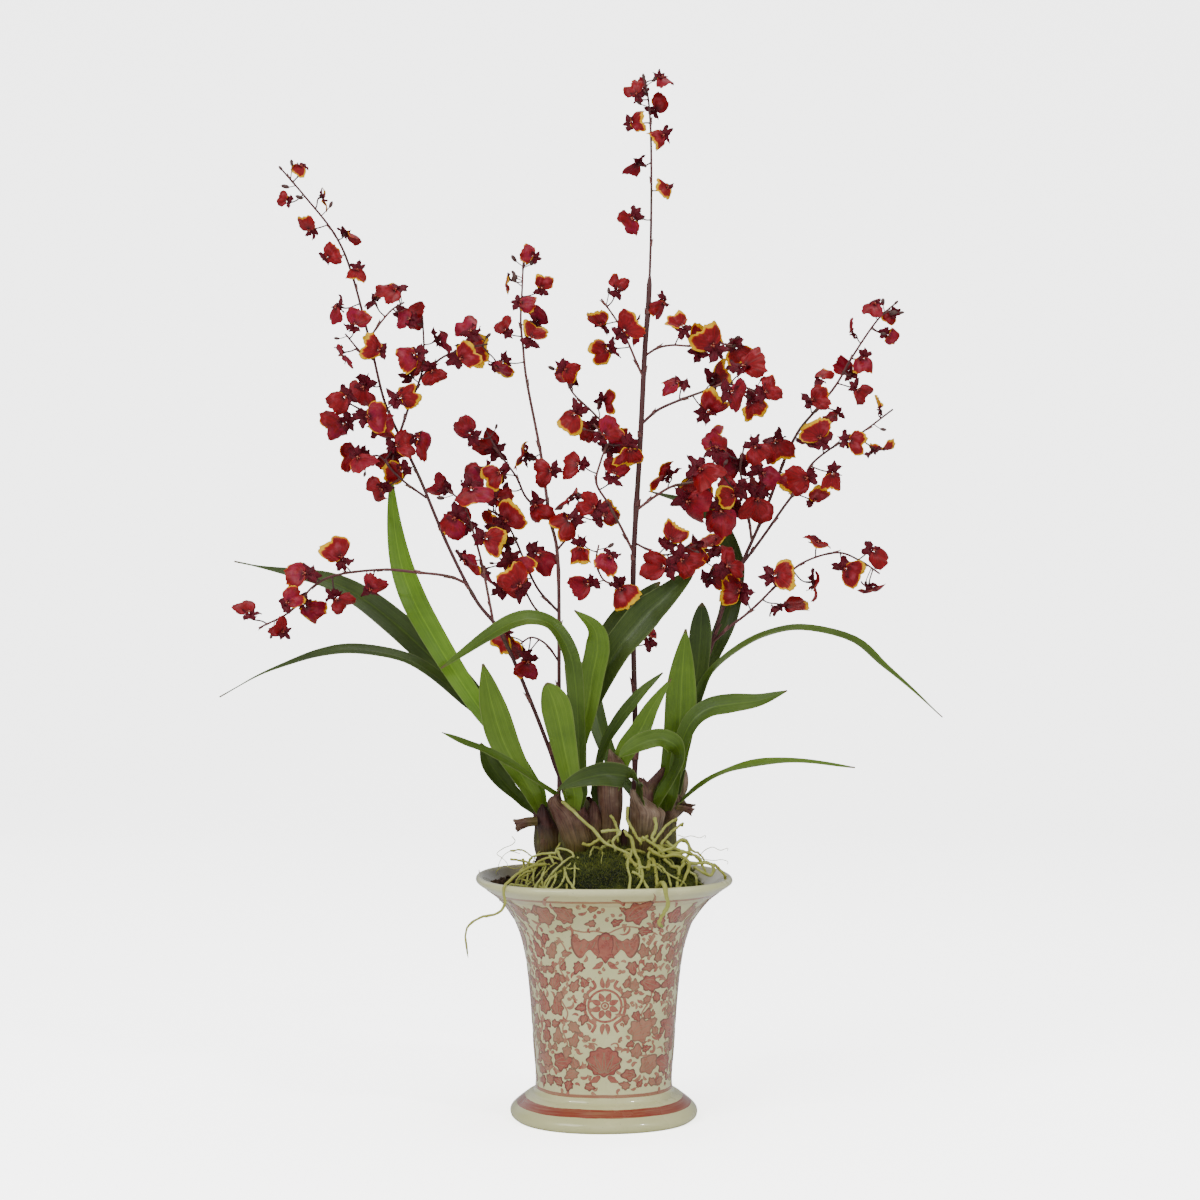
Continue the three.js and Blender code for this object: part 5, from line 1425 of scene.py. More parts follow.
# %% Lay the roots that show at the front
# Seen from the front: half thickness, then points across and up. Each lies on the front slope of the
# mound, or in front of the sheaths where it is higher than that, and its end dives in.
FRONT_ROOTS = {
    "left": [
        (0.95, [[-38, 213], [-37, 216], [-33.5, 216.5], [-28, 215.5], [-24, 212], [-22.5, 206], [-23, 198],
          [-23.5, 191]]),
        (1.1, [[-36.5, 215], [-34, 209.5], [-31.5, 203], [-29, 196.5], [-25, 191], [-21.5, 186],
          [-19, 181]]),
        (1.0, [[-43, 212], [-40.5, 207], [-38, 202], [-37.5, 196], [-39.5, 190], [-42, 187.5], [-49, 187.5],
          [-51, 189]]),
        (1.0, [[-38, 213], [-47.5, 212.5], [-53, 211], [-57.5, 208.5], [-59.5, 203], [-60, 195], [-61, 189],
          [-61, 184]]),
        (0.9, [[-20, 210], [-26.5, 205], [-30, 201], [-31, 195.5], [-35, 189.5], [-41, 186], [-42.5, 182]]),
        (1.0, [[-33, 200.5], [-37, 197.5], [-41, 193.5], [-50, 190], [-57, 187], [-61.5, 184], [-66, 181]]),
        (1.1, [[-46.5, 202], [-50, 197.5], [-54, 192.5], [-59.5, 188], [-64, 186.5], [-73, 187.5],
          [-75.5, 184]]),
        (0.8, [[-41.5, 201], [-45.5, 195.5], [-49.5, 191], [-52.5, 187.5], [-54, 183]]),
        (0.9, [[-74, 207.5], [-67.5, 206.5], [-61.5, 206], [-56, 204], [-50, 204.5], [-42, 204]]),
        (0.7, [[-74, 214], [-66, 215], [-61.5, 213.5], [-57, 210]]),
        (0.9, [[-57, 200.5], [-55, 196.5], [-57, 192.5], [-59.5, 189], [-60, 184]]),
        (0.7, [[-19, 202], [-22.5, 202.5], [-28.5, 202], [-34, 204]]),
        (0.8, [[-41, 186], [-36, 185.5], [-31, 183], [-29, 179]]),
        (0.8, [[-45.5, 187], [-45, 183], [-45, 178]]),
        (0.8, [[-29, 191.5], [-28.5, 186], [-28.5, 179]]),
        (1.0, [[-64, 208], [-63, 202], [-66, 197], [-64.5, 192], [-60, 190]]),
        (0.9, [[-52, 206], [-54, 200], [-61, 197.5], [-67, 193], [-70, 188], [-74, 183]]),
        (0.9, [[-34, 208], [-40, 210], [-48, 208], [-55, 203], [-58, 197], [-64, 193.5]]),
        (0.32, [[-72.5, 225.5], [-70, 222], [-73, 218.5], [-79, 216], [-84.5, 211.5], [-80, 208],
          [-76.5, 204]]),
        (0.3, [[-66, 212], [-74, 213.5], [-80, 209], [-83, 203]]),
        (0.3, [[-60, 204], [-70, 200], [-79, 202], [-85, 197]]),
    ],
    "middle": [
        (1.4, [[-32.8, 254], [-25, 247], [-18.6, 241], [-7.8, 231.3], [-0.7, 222.4], [9.8, 217], [20, 211.5],
          [18, 205], [20.2, 197.7], [19.6, 190], [19.4, 182]]),
        (1.35, [[-2, 230], [4, 231], [11, 230.8], [12.8, 228.8], [9, 225.5], [6.9, 222.5], [9, 216.5]]),
        (1.25, [[19, 250], [18.2, 240], [22.4, 232.5], [25.4, 226.5], [29, 222]]),
        (1.45, [[16.5, 231], [18, 228], [21.7, 224.3], [23.9, 215.4], [27.6, 206.6], [29.8, 196.2],
          [25.4, 188.8], [23.5, 184.5]]),
        (1.3, [[23, 221], [21.7, 212.5], [18, 206.5]]),
        (1.2, [[21.7, 200.7], [26, 199], [29.8, 195.5], [33.5, 189.6], [34.2, 183], [33, 179]]),
        (1.1, [[27, 225], [31, 223.5], [34, 226.5]]),
        (1.1, [[23, 182.5], [27, 184], [31, 183]]),
        (1.3, [[-17, 221], [-12, 219.5], [-7, 222], [-3, 224.5]]),
        (1.1, [[5, 243], [8.5, 238], [10.5, 231], [11, 224]]),
    ],
    "right": [
        (1.6, [[34.5, 202], [36, 207.5], [38.5, 208], [40.1, 202], [41, 193], [41.5, 187]]),
        (1.55, [[35, 217], [41, 213], [47, 210], [55.7, 211.5], [63.8, 208.5], [67.5, 203.6], [66, 197.7],
          [60.9, 189.6], [53, 184]]),
        (1.4, [[43, 214], [54, 217], [59.4, 222], [63.8, 223], [67, 218.4], [67, 211], [62, 206]]),
        (1.35, [[47, 208.5], [54.2, 202], [59.4, 201], [58, 193.5], [57, 188]]),
        (1.3, [[64, 205], [59, 198], [58, 192]]),
        (1.4, [[66, 205], [74, 204], [82, 204.5], [87, 200], [84.5, 194.5], [78, 197], [72, 201]]),
        (1.2, [[82, 204], [88, 202], [92, 198.5], [96, 193.5]]),
        (0.97, [[67, 198], [72.5, 194], [73, 188]]),
        (1.4, [[40, 241], [41, 232.5], [38, 226], [39.5, 222.5]]),
        (1.1, [[38.7, 221], [44, 228], [50, 235], [57.2, 239.5]]),
        (1.1, [[45, 220], [52, 228], [58, 233], [62, 236]]),
        (1.3, [[30, 226], [36, 222], [43, 217], [47, 212]]),
        (1.15, [[49, 222], [55, 217.5], [62, 214], [69, 211], [74, 209.5], [77, 206]]),
        (1.25, [[42, 219], [50, 214], [58, 212.5], [66, 213], [72, 210], [77, 204], [80, 198]]),
        (1.1, [[37, 216], [35, 211], [38, 206], [44, 203], [50, 197], [52, 190]]),
        (0.95, [[60, 223], [66, 220], [70, 214], [75, 212], [79, 207]]),
        (0.32, [[69, 211], [75, 209.5], [79.4, 214], [86, 216.5], [92, 214], [98, 215.5]]),
        (0.3, [[58, 227], [64, 225], [69, 226], [75.7, 224.3], [80, 226]]),
        (0.28, [[76, 208], [86, 206], [93, 206.5], [98, 205]]),
    ],
    "back": [],
}
# The roots that hang over the rim have all three numbers: across, deep and up.
OVER_THE_RIM = {
    "left": [
        (1.1, [[-46, -34, 204], [-56, -46, 204], [-66, -61, 200], [-73, -74, 195.5], [-77, -79, 190],
          [-76, -80, 178], [-81, -80, 172], [-88, -79, 170], [-94, -78, 168.5], [-99, -76, 165.5],
          [-104, -74, 162], [-106.5, -73, 155], [-106, -73, 146], [-104.5, -73, 136]]),
    ],
    "right": [
        (1.75, [[41, -66, 190], [43, -80, 194], [45, -92, 196.5], [46, -101, 194.5], [47.5, -103, 187],
          [48.5, -102, 181], [46, -101, 175.5], [43, -100, 170], [42, -100, 166], [45, -100, 163]]),
    ],
}
ROOT_STATIONS = 31


def on_the_front(x, z):
    """How deep a point of the front slope lies, seen at x across and z up."""
    share = min(max((z - SOIL_TOP) / MOSS_RISE, 0), 1) ** 1.25
    slope = MOSS_RADIUS * (1 - share) ** (1 / 2.6)
    beside = math.sqrt(max(slope**2 - (x - MOSS_CENTRE_X) ** 2, 0))
    return -max(beside + 2.5, 36 - 0.25 * max(0, abs(x) - 30))


def front_root(rng, points):
    route = [[x, on_the_front(x, z) + rng.uniform(-1.5, 0.5), z] for x, z in points]
    x, y, z = route[-1]
    return route + [[x, y + 5, z - 3]]

# %% Let more roots wander, and build the nests
# Each nest: seed, where its roots start and how widely, the directions they take in degrees, how far
# they reach, how high they arch, how thick they are and how many there are.
NESTS = {
    "left": (5, (-50, -28), (22, 22), (150, 330), (14, 34), (1, 6), (0.7, 1.1), 22),
    "middle": (8, (10, -30), (16, 8), (200, 340), (12, 32), (1, 6), (0.9, 1.5), 6),
    "right": (13, (54, -24), (20, 18), (210, 400), (14, 34), (1, 7), (0.8, 1.3), 10),
    "back": (21, (6, 44), (56, 16), (10, 170), (16, 40), (2, 9), (0.8, 1.5), 44),
}


def wandering_root(rng, crown, spread, headings, reach, arch):
    x = crown[0] + rng.uniform(-1, 1) * spread[0]
    y = crown[1] + rng.uniform(-1, 1) * spread[1]
    heading = math.radians(rng.uniform(*headings))
    span, rise, steps = rng.uniform(*reach), rng.uniform(*arch), 6
    route = []
    for k in range(steps + 1):
        share = k / steps
        heading += rng.uniform(-0.75, 0.75)
        if k:
            x += math.cos(heading) * span / steps
            y += math.sin(heading) * span / steps
        far = math.hypot(x, y)
        inside = min(1, SOIL_EDGE / far)
        x, y = x * inside, y * inside
        lift = rise * math.sin(math.pi * share) + rng.uniform(-0.8, 0.8) + 1.0 - 5 * max(0, 1 - 6 * share)
        lift -= 5 * max(0, share - 0.8) / 0.2
        route.append([x, y, max(float(moss_height(x, y)), SOIL_TOP) + lift])
    return route


def root_nest(name):
    seed, crown, spread, headings, reach, arch, radii, count = NESTS[name]
    rng = random.Random(seed)
    routes = [(half, front_root(rng, points)) for half, points in FRONT_ROOTS[name]]
    routes += OVER_THE_RIM.get(name, [])
    for k in range(count):
        half = 0.32 if k % 5 == 4 else rng.uniform(*radii)
        routes.append((half, wandering_root(rng, crown, spread, headings, reach, arch)))
    heap = Heap()
    t = np.linspace(0, 1, ROOT_STATIONS)
    for half, route in routes:
        uneven = 1 + 0.09 * np.sin(t * rng.uniform(20, 45)) + 0.05 * np.sin(t * 71)
        uneven = uneven - 0.25 * smooth_step(t, 0.3, 1)
        rounded = np.sqrt(np.clip((1 - t) / 0.04, 0.02, 1))
        line = curve_points(route, t)
        line[1:-1] += np.array([[rng.uniform(-0.3, 0.3) for _ in range(3)] for _ in t[1:-1]]) * min(half, 1)
        heap.add(*rod(line, half * uneven * rounded, 8), mood=rng.uniform(0.35, 1))
    return heap


root_skin = root_finish()
for name in NESTS:
    piece = root_nest(name).build(f"roots_over_the_moss_{name}", [root_skin], crease=75)
    settle(piece, "root", f"roots_{name}")

# %% [markdown]
# ## Flower spikes
# Each spike is a wiry stalk with branches, and each bloom hangs on its own thin pedicel. The same
# list of routes and the same draws as in the solid model place every bloom: where it would crowd
# another one, the pedicel turns round its stem until the bloom stands clear. The bloom itself is
# a star of five narrow crinkled sepals and petals, a broad ruffled lip below it with two lobes
# and a ragged yellow margin, and the bumpy crest and column in the middle. The lips fold and
# turn each in its own way, since a spray of equal blooms looks cut out with a punch. Towards a
# stem's tip the youngest blooms are smaller, and closed buds stand on hair-thin pedicels.

# %% List the routes of the spikes
# Each spike: seed and stems, the stalk first. Each stem: radius at its base, runs of blooms, route.
# Each run: how many blooms, from where to where along the stem, and their size.
SPIKES = {
    "left": (101, [
        (1.9, [[6, 0.5, 0.72, 1], [8, 0.74, 0.98, 0.76]], [[-20, 5, 206], [-26, 4, 236], [-34, 3, 266],
         [-58, 0, 330], [-82, -2, 385], [-102, -5, 412], [-124, -8, 455], [-146, -12, 508],
         [-162, -15, 542], [-174, -18, 570], [-184, -22, 612], [-199, -27, 670], [-212, -32, 700],
         [-234, -37, 728], [-253, -42, 750]]),
        (1.3, [[8, 0.42, 1, 0.95]], [[-109, -6, 425], [-124, -10, 431], [-149, -16, 434],
         [-175, -22, 436], [-209, -30, 432], [-228, -34, 423], [-246, -38, 403], [-270, -44, 390]]),
        (1.2, [[5, 0.4, 1, 0.95]], [[-162, -15, 544], [-154, -13, 568], [-146, -12, 588],
         [-143, -12, 607], [-144, -14, 638]]),
        (1.1, [[4, 0.35, 1, 1.05]], [[-146, -12, 588], [-130, -10, 604], [-112, -8, 612], [-92, -8, 616]]),
        (1.1, [[3, 0.4, 1, 1]], [[-168, -17, 552], [-180, -20, 558], [-191, -24, 562], [-206, -27, 570]]),
        (1.1, [[5, 0.3, 1, 1.05]], [[-142, -11, 494], [-156, -15, 504], [-167, -19, 514],
         [-178, -22, 526], [-194, -26, 522]]),
        (1.2, [[6, 0.3, 1, 1.1]], [[-88, -3, 393], [-95, -4, 430], [-99, -4, 448], [-105, -4, 469],
         [-112, -5, 488], [-124, -8, 500]]),
        (1, [[2, 0.5, 1, 1]], [[-182, -21, 602], [-192, -25, 608], [-204, -28, 622]]),
        (1, [[3, 0.4, 1, 1]], [[-186, -22, 618], [-178, -20, 630], [-168, -18, 642], [-158, -18, 648]]),
    ]),
    "centre_left": (202, [
        (1.8, [[3, 0.36, 0.5, 1], [8, 0.66, 0.99, 0.86]], [[-37, 12, 206], [-36, 13, 260], [-36, 15, 348],
         [-37, 19, 444], [-44, 23, 480], [-50, 28, 524], [-54, 33, 546], [-63, 40, 592], [-66, 45, 619],
         [-68, 49, 641], [-67, 54, 668], [-66, 58, 696]]),
        (1.2, [[5, 0.3, 1, 1.05]], [[-44, 23, 480], [-62, 26, 494], [-71, 29, 512], [-84, 32, 530],
         [-96, 36, 550]]),
        (1.2, [[6, 0.3, 1, 1.1]], [[-36, 17, 402], [-51, 18, 418], [-60, 19, 434], [-71, 21, 460],
         [-80, 23, 476], [-94, 26, 486]]),
        (1.1, [[4, 0.35, 1, 1.1]], [[-36, 16, 390], [-54, 14, 404], [-64, 14, 420], [-76, 15, 434],
         [-84, 17, 446]]),
        (1.1, [[3, 0.4, 1, 1.05]], [[-38, 19, 452], [-28, 18, 464], [-18, 20, 478], [-12, 24, 496]]),
        (1, [[3, 0.4, 1, 0.95]], [[-36, 15, 362], [-46, 12, 376], [-58, 10, 382], [-68, 10, 376]]),
    ]),
    "tall": (303, [
        (2.2, [[2, 0.25, 0.36, 0.95], [2, 0.56, 0.66, 1], [9, 0.72, 0.99, 0.86]], [[22, 8, 206],
         [25, 10, 276], [25, 12, 332], [24, 12, 372], [24, 11, 444], [29, 9, 532], [33, 8, 612],
         [36, 8, 652], [38, 8, 712], [38, 7, 778], [36, 6, 812], [32, 6, 832]]),
        (1.3, [[7, 0.3, 1, 1.05]], [[31, 8, 554], [43, 3, 564], [59, -3, 571], [76, -8, 577],
         [94, -12, 583], [108, -14, 582], [128, -18, 575]]),
        (1.1, [[4, 0.35, 1, 1.05]], [[33, 8, 608], [43, 5, 614], [55, 1, 616], [70, -3, 615],
         [87, -6, 618], [102, -9, 614]]),
        (1.3, [[7, 0.3, 1, 1.15]], [[26, 10, 484], [41, 4, 495], [55, 0, 503], [70, -4, 506],
         [84, -8, 509], [98, -12, 514]]),
        (1.1, [[4, 0.35, 1, 1]], [[32, 8, 590], [26, 4, 603], [19, 0, 619], [11, -4, 634], [-2, -8, 652]]),
        (1.1, [[5, 0.3, 1, 1]], [[28, 9, 524], [17, 4, 538], [3, 0, 550], [-10, -5, 563], [-26, -9, 579],
         [-34, -12, 602]]),
        (1.2, [[6, 0.25, 1, 1.05]], [[24, 11, 450], [13, 5, 472], [3, 0, 490], [-6, -5, 506],
         [-2, -9, 524], [2, -12, 538], [-8, -14, 552]]),
        (1, [[4, 0.35, 1, 1.1]], [[25, 11, 458], [36, 2, 452], [47, -6, 448], [58, -13, 450],
         [68, -18, 456]]),
        (1, [[3, 0.4, 1, 1]], [[24, 12, 420], [12, 4, 424], [0, -3, 428], [-6, -7, 442], [-4, -9, 456]]),
    ]),
    "right": (404, [
        (2, [[4, 0.5, 0.64, 1], [10, 0.68, 0.99, 0.88]], [[57, 20, 206], [57, 19, 240], [59, 17, 268],
         [75, 18, 337], [87, 20, 375], [98, 22, 410], [113, 25, 444], [131, 28, 484], [147, 31, 526],
         [159, 34, 550], [174, 37, 568], [190, 40, 588], [204, 43, 612], [224, 47, 641], [240, 50, 656]]),
        (1.3, [[7, 0.3, 1, 0.95]], [[113, 25, 442], [128, 22, 462], [146, 18, 488], [161, 15, 508],
         [168, 12, 522], [186, 9, 536], [205, 7, 545], [232, 5, 565]]),
        (1.2, [[8, 0.25, 1, 1.05]], [[88, 20, 378], [101, 14, 390], [114, 11, 400], [126, 9, 411],
         [140, 8, 425], [160, 6, 442], [187, 4, 450], [206, 2, 443], [221, 1, 433]]),
        (1.1, [[3, 0.35, 1, 1.1]], [[110, 25, 436], [104, 20, 446], [96, 16, 442], [88, 13, 436]]),
        (1.2, [[7, 0.25, 1, 1.15]], [[120, 26, 460], [117, 22, 482], [114, 18, 500], [110, 15, 518],
         [114, 12, 540]]),
    ]),
}
print("stems:", sum(len(stems) for _, stems in SPIKES.values()))

# %% Stand the blooms clear of each other
# The numbers are those of the solid model: millimetres, and radians for the turns.
BLOOM_REACH = (11, 20)
BLOOM_ROOM = 18
BLOOM_MIDDLE = 5
BLOOM_TILT = 0.5
LIP_TURN = 2.5
OWN_ROOM = 8.5
OTHER_ROOM = 13
LEAF_ROOM = 2
STEM_ROOM = 4
BUDS = (3, 0.93, 1)
TURNS = (0, 0.7, -0.7, 1.4, -1.4, 2.1, -2.1, 2.8)
TURN_STRETCH = 0.06
FRONT = vector(0, -1, 0)


def leaf_stations():
    """Where leaves stand in the way of blooms, with the room they ask for."""
    for _, _, width, route, *shape in LEAVES:
        fine = curve_points(route, np.linspace(0, 1, 201))
        length = np.linalg.norm(np.diff(fine, axis=0), axis=1).sum()
        steps = min(max(math.floor(length / 46 + 0.5) + 2, 4), 6)
        t = np.linspace(0, 1, steps + 1)
        yield from zip(curve_points(route, t), leaf_half(width, t, *shape) + LEAF_ROOM)


# Each obstacle: place, room, spike it belongs to, whether it is a stem.
obstacles = [(at, room, None, False) for at, room in leaf_stations()]
obstacles += [(vector(*point), STEM_ROOM, spike, True)
              for spike, (_, stems) in SPIKES.items() for _, _, route in stems for point in route]


def clearance(middle, spike):
    rooms = [math.dist(at, middle) - (OWN_ROOM if owner == spike else room)
             for at, room, owner, stem in obstacles if not (stem and owner == spike)]
    return min(rooms)


def stem_at(route, t):
    """The point and the direction at a station of a stem that runs straight between its points."""
    last = len(route) - 1
    i = min(math.floor(t * last), last - 1)
    a, b = vector(*route[i]), vector(*route[i + 1])
    return a + (b - a) * (t * last - i), unit(b - a)


def place_bloom(route, t, turn, swing, reach, tilt, lip_turn, size):
    start, along = stem_at(route, t)
    lateral = unit(np.cross(along, FRONT))
    depth = np.cross(lateral, along)
    angle = swing + turn
    out = lateral * math.cos(angle) + depth * math.sin(angle)
    at = start + out * reach * 0.85 + along * reach * 0.35 - UP * reach * 0.12
    face = unit(out * 0.6 + FRONT * (0.9 - 1.1 * max(0, out[1])) + along * tilt)
    hang = out * 0.7 - UP * 0.8
    lip = turned(unit(hang - face * (hang @ face)), face, lip_turn)
    return {"route": route, "t": t, "along": along, "out": out, "at": at, "face": face, "lip": lip,
            "size": size}


def bloom_in_best_place(route, t, spike, swing, reach, tilt, lip_turn, size):
    best, best_room = None, -math.inf
    for i, turn in enumerate(TURNS):
        bloom = place_bloom(route, t, turn, swing, reach * (1 + TURN_STRETCH * i), tilt, lip_turn, size)
        middle = bloom["at"] + bloom["lip"] * BLOOM_MIDDLE * size
        room = clearance(middle, spike)
        if room > best_room:
            best, best_room = {**bloom, "middle": middle}, room
        if room > BLOOM_ROOM * size:
            break
    obstacles.append((best["middle"], OTHER_ROOM, spike, False))
    return best


def blooms_on(route, runs, spike, draw):
    for count, first, last, size in runs:
        for k in range(count):
            t = first + (last - first) * (k + 0.5) / count
            reach, tilt = draw(*BLOOM_REACH), draw(-BLOOM_TILT, BLOOM_TILT)
            lip_turn, full = draw(-LIP_TURN, LIP_TURN), size * draw(0.85, 1.12)
            swing = draw(-0.9, 1.1) if k % 2 else math.pi - draw(-0.9, 1.1)
            yield bloom_in_best_place(route, t, spike, swing, reach, tilt, lip_turn, full)


def buds_on(route, draw):
    count, first, last = BUDS
    for k in range(count):
        t = first + (last - first) * k / (count - 1)
        start, along = stem_at(route, t)
        reach = 0 if k == count - 1 else draw(6, 9)
        at = start + unit(np.cross(along, FRONT)) * (reach if k % 2 else -reach) + UP * reach * 0.6
        yield {"start": start, "at": at, "along": along, "reach": reach, "size": draw(0.85, 1.1)}


blooms, buds = {}, {}
for spike, (seed, stems) in SPIKES.items():
    draw = draws_from(seed)
    blooms[spike] = [bloom for _, runs, route in stems for bloom in blooms_on(route, runs, spike, draw)]
    buds[spike] = list(buds_on(stems[0][2], draw))
    print(f"{spike}: {len(blooms[spike])} blooms")

# %% [markdown]
# ### Finishes of the bloom
# The lip is a soft saturated red with faint veins fanning out from its narrow base, darker at
# the base and yellow at the torn margin. Its map runs across the fan in one direction and from
# base to margin in the other, so veins and margin are drawn with simple stretched noise. How wide
# the yellow runs is a value that each kind of lip carries. The sepals are a dark maroon.

# %% Mix the red of the lips
def lip_finish():
    finish = Finish("ruffled lip")
    local, mood = finish.local(), finish.mood()
    out = local.axis("Y")
    own = local.moved(mood * 9.7)
    veins = noise(own.scaled((26, 1.4, 1)), 1, detail=3)
    red = ramp(veins, [(0.35, (0.19, 0.001, 0.0035)), (0.62, (0.36, 0.0024, 0.0075))])
    cloud = ramp(noise(own.scaled((3, 2.5, 1)), 1, detail=2), [(0.4, 0), (0.66, 1)])
    rosy = cloud * ramp((mood * 3.3).fraction(), [(0.35, 0.05), (0.75, 0.95)])
    colour = blended(rosy, red, (0.33, 0.004, 0.048))
    fiery = ramp(out, [(0.45, 0), (0.9, 1)]) * ramp((mood * 5.6).fraction(), [(0.5, 0.05), (0.9, 0.6)])
    colour = blended(fiery, colour, (0.52, 0.02, 0.001))
    # painted highlight: pale pink patches across the middle of the lip stand in for the sheen of light on it
    glow = ramp(noise(own.scaled((2.2, 1.8, 1)), 1.3, detail=3), [(0.54, 0), (0.7, 0.6)])
    glow = glow * ramp(out, [(0.2, 0), (0.4, 1), (0.7, 1), (0.9, 0.2)])
    colour = blended(glow, colour, (0.5, 0.06, 0.09))
    throat = ramp(out, [(0.02, 0.95), (0.3, 0)])
    colour = blended(throat, colour, (0.055, 0.001, 0.006))
    ragged = noise(own.scaled((17, 1, 1)), 1) - 0.5
    uneven = noise(own.scaled((3.4, 0.2, 1)), 1, detail=1) - 0.5
    broad = ramp(mood, [(0.3, 0), (1, 1)])
    reach = out + ragged * 0.2 + uneven * 0.75 + (broad * 0.26 - 0.21)
    orange = ramp(reach, [(0.83, 0), (0.89, 0.95)])
    colour = blended(orange, colour, (0.78, 0.13, 0.001))
    yellow = ramp(reach, [(0.88, 0), (0.93, 1)])
    colour = blended(yellow, colour, (0.98, 0.56, 0.008))
    return finish.done(colour, 0.45, (veins, 0.35, 0.0004), {"Specular IOR Level": 0.3})

# %% Mix the maroon of the star, and the skins of stems, crests and buds
def star_finish():
    finish = Finish("crinkled sepal")
    local = finish.local()
    streaks = noise(local.scaled((7, 1.5, 1)), 1)
    colour = ramp(streaks, [(0.3, (0.055, 0.002, 0.007)), (0.52, (0.14, 0.004, 0.015)),
                            (0.75, (0.3, 0.008, 0.026))])
    tip = ramp(local.axis("Y"), [(0.75, 0), (1, 0.6)])
    return finish.done(blended(tip, colour, (0.04, 0.008, 0.008)), 0.5, (streaks, 0.5, 0.0005),
                       {"Specular IOR Level": 0.25})


def stem_finish():
    finish = Finish("wiry stem")
    streaks = noise(finish.local().scaled((5, 30, 1)), 1, detail=3)
    colour = ramp(streaks * 0.35 + finish.mood() * 0.65,
                  [(0.2, (0.07, 0.018, 0.02)), (0.5, (0.15, 0.042, 0.042)), (0.75, (0.26, 0.1, 0.09)),
                   (0.95, (0.39, 0.2, 0.165))])
    green = ramp(noise(finish.place(), 42, detail=3), [(0.56, 0), (0.7, 0.45)])
    return finish.done(blended(green, colour, (0.07, 0.075, 0.025)), 0.45, (streaks, 0.3, 0.0003))


def crest_finish():
    finish = Finish("crest and column")
    speckle = noise(finish.place(), 1100)
    colour = ramp(speckle, [(0.4, (0.4, 0.012, 0.025)), (0.58, (0.62, 0.18, 0.09)),
                            (0.74, (0.88, 0.7, 0.45))])
    return finish.done(colour, 0.4, (speckle, 0.4, 0.0003))


def bud_finish():
    finish = Finish("closed bud")
    seams = noise(finish.local().scaled((6, 1.5, 1)), 1, detail=3)
    colour = ramp(seams, [(0.35, (0.06, 0.02, 0.022)), (0.6, (0.155, 0.08, 0.07)),
                          (0.8, (0.27, 0.17, 0.14))])
    return finish.done(colour, 0.6, (seams, 0.4, 0.0004))


SPRAY_FINISHES = [stem_finish(), lip_finish(), star_finish(), crest_finish(), bud_finish()]
STEM, LIP, STAR, CREST, BUD = range(5)

# %% [markdown]
# ### The lip
# A lip is a fan: rings of points spread from its narrow base, out to a margin whose distance
# changes with the angle, which gives the notch, the two round lobes and the waist. On top of that
# each lobe swells, the margin ruffles, and the whole fan bends about its midrib and tips forward
# or back. Bending goes along an arc, so the lip keeps its width and looks folded, not squashed.

# %% Spread one lip
LIP_MARGIN = [(0, 14.8), (12, 15.8), (28, 17.6), (45, 17.4), (60, 15.0), (75, 11.4), (90, 7.0), (108, 3.2)]
LIP_BASE = -3.0
LIP_ANGLE = 108
LIP_RINGS = 9
LIP_SPOKES = 35
LIP_KINDS = 12


def bent(across, depth, curve):
    """Bends a strip about the line across = 0, keeping its width. curve is in radians a millimetre."""
    if abs(curve) < 1e-4:
        return across, depth
    return np.sin(curve * across) / curve, depth - (1 - np.cos(curve * across)) / curve


def lip_grid(rng):
    theta = np.radians(np.linspace(-LIP_ANGLE, LIP_ANGLE, LIP_SPOKES))[None]
    degrees, far = zip(*LIP_MARGIN)
    margin = np.interp(np.abs(theta), np.radians(degrees), far)
    lean, phase, waves = rng.uniform(-0.06, 0.06), rng.uniform(0, 6.3), rng.choice((5, 6, 7, 8))
    torn = sum(rng.uniform(0.012, 0.036) * np.sin(k * theta + rng.uniform(0, 6.3)) for k in (9, 14, 19, 27))
    torn = torn + rng.uniform(0.02, 0.06) * np.sin(waves * theta + 1.3 * phase)
    torn = torn + rng.uniform(-0.16, 0.06) * np.exp(-((theta / 0.2) ** 2))
    margin = margin * (1 + lean * np.sign(theta) * smooth_step(np.abs(theta), 0.1, 0.8) + torn)
    share = np.linspace(0.05, 1, LIP_RINGS)[:, None]
    x = rng.uniform(0.84, 1.08) * margin * share * np.sin(theta)
    y = -rng.uniform(0.88, 1.08) * margin * share * np.cos(theta)
    z = 1.6 * np.sin(np.pi * share * 0.75) + 0 * x
    z = z + rng.uniform(0.4, 2.0) * np.exp(-((np.abs(x) - 7) ** 2 + (y + 9) ** 2) / 34)
    z = z + rng.uniform(0.8, 2.1) * share**3 * np.sin(waves * theta + phase)
    z = z - rng.uniform(0.2, 1.0) * np.exp(-((x / 1.3) ** 2)) * share
    folded = rng.choice((-0.03, 0.0, 0.01, 0.02, 0.035, 0.05, 0.065, 0.09))
    x, z = bent(x, z, folded)
    length, z = bent(-y, z, rng.uniform(-0.025, 0.045))
    tip = rng.uniform(-0.35, 0.3)
    y, z = -(length * math.cos(tip) - z * math.sin(tip)), length * math.sin(tip) + z * math.cos(tip)
    return stacked(x, y + LIP_BASE, z)

# %% Curl one sepal
STAR_TIPS = [(0, 10.2, 6.2), (9.4, 4.5, 7.0), (-9.4, 4.5, 7.0), (7.4, -6.0, 5.2), (-7.4, -6.0, 5.2)]
SEPAL_STEPS = 8
SEPAL_KINDS = 6


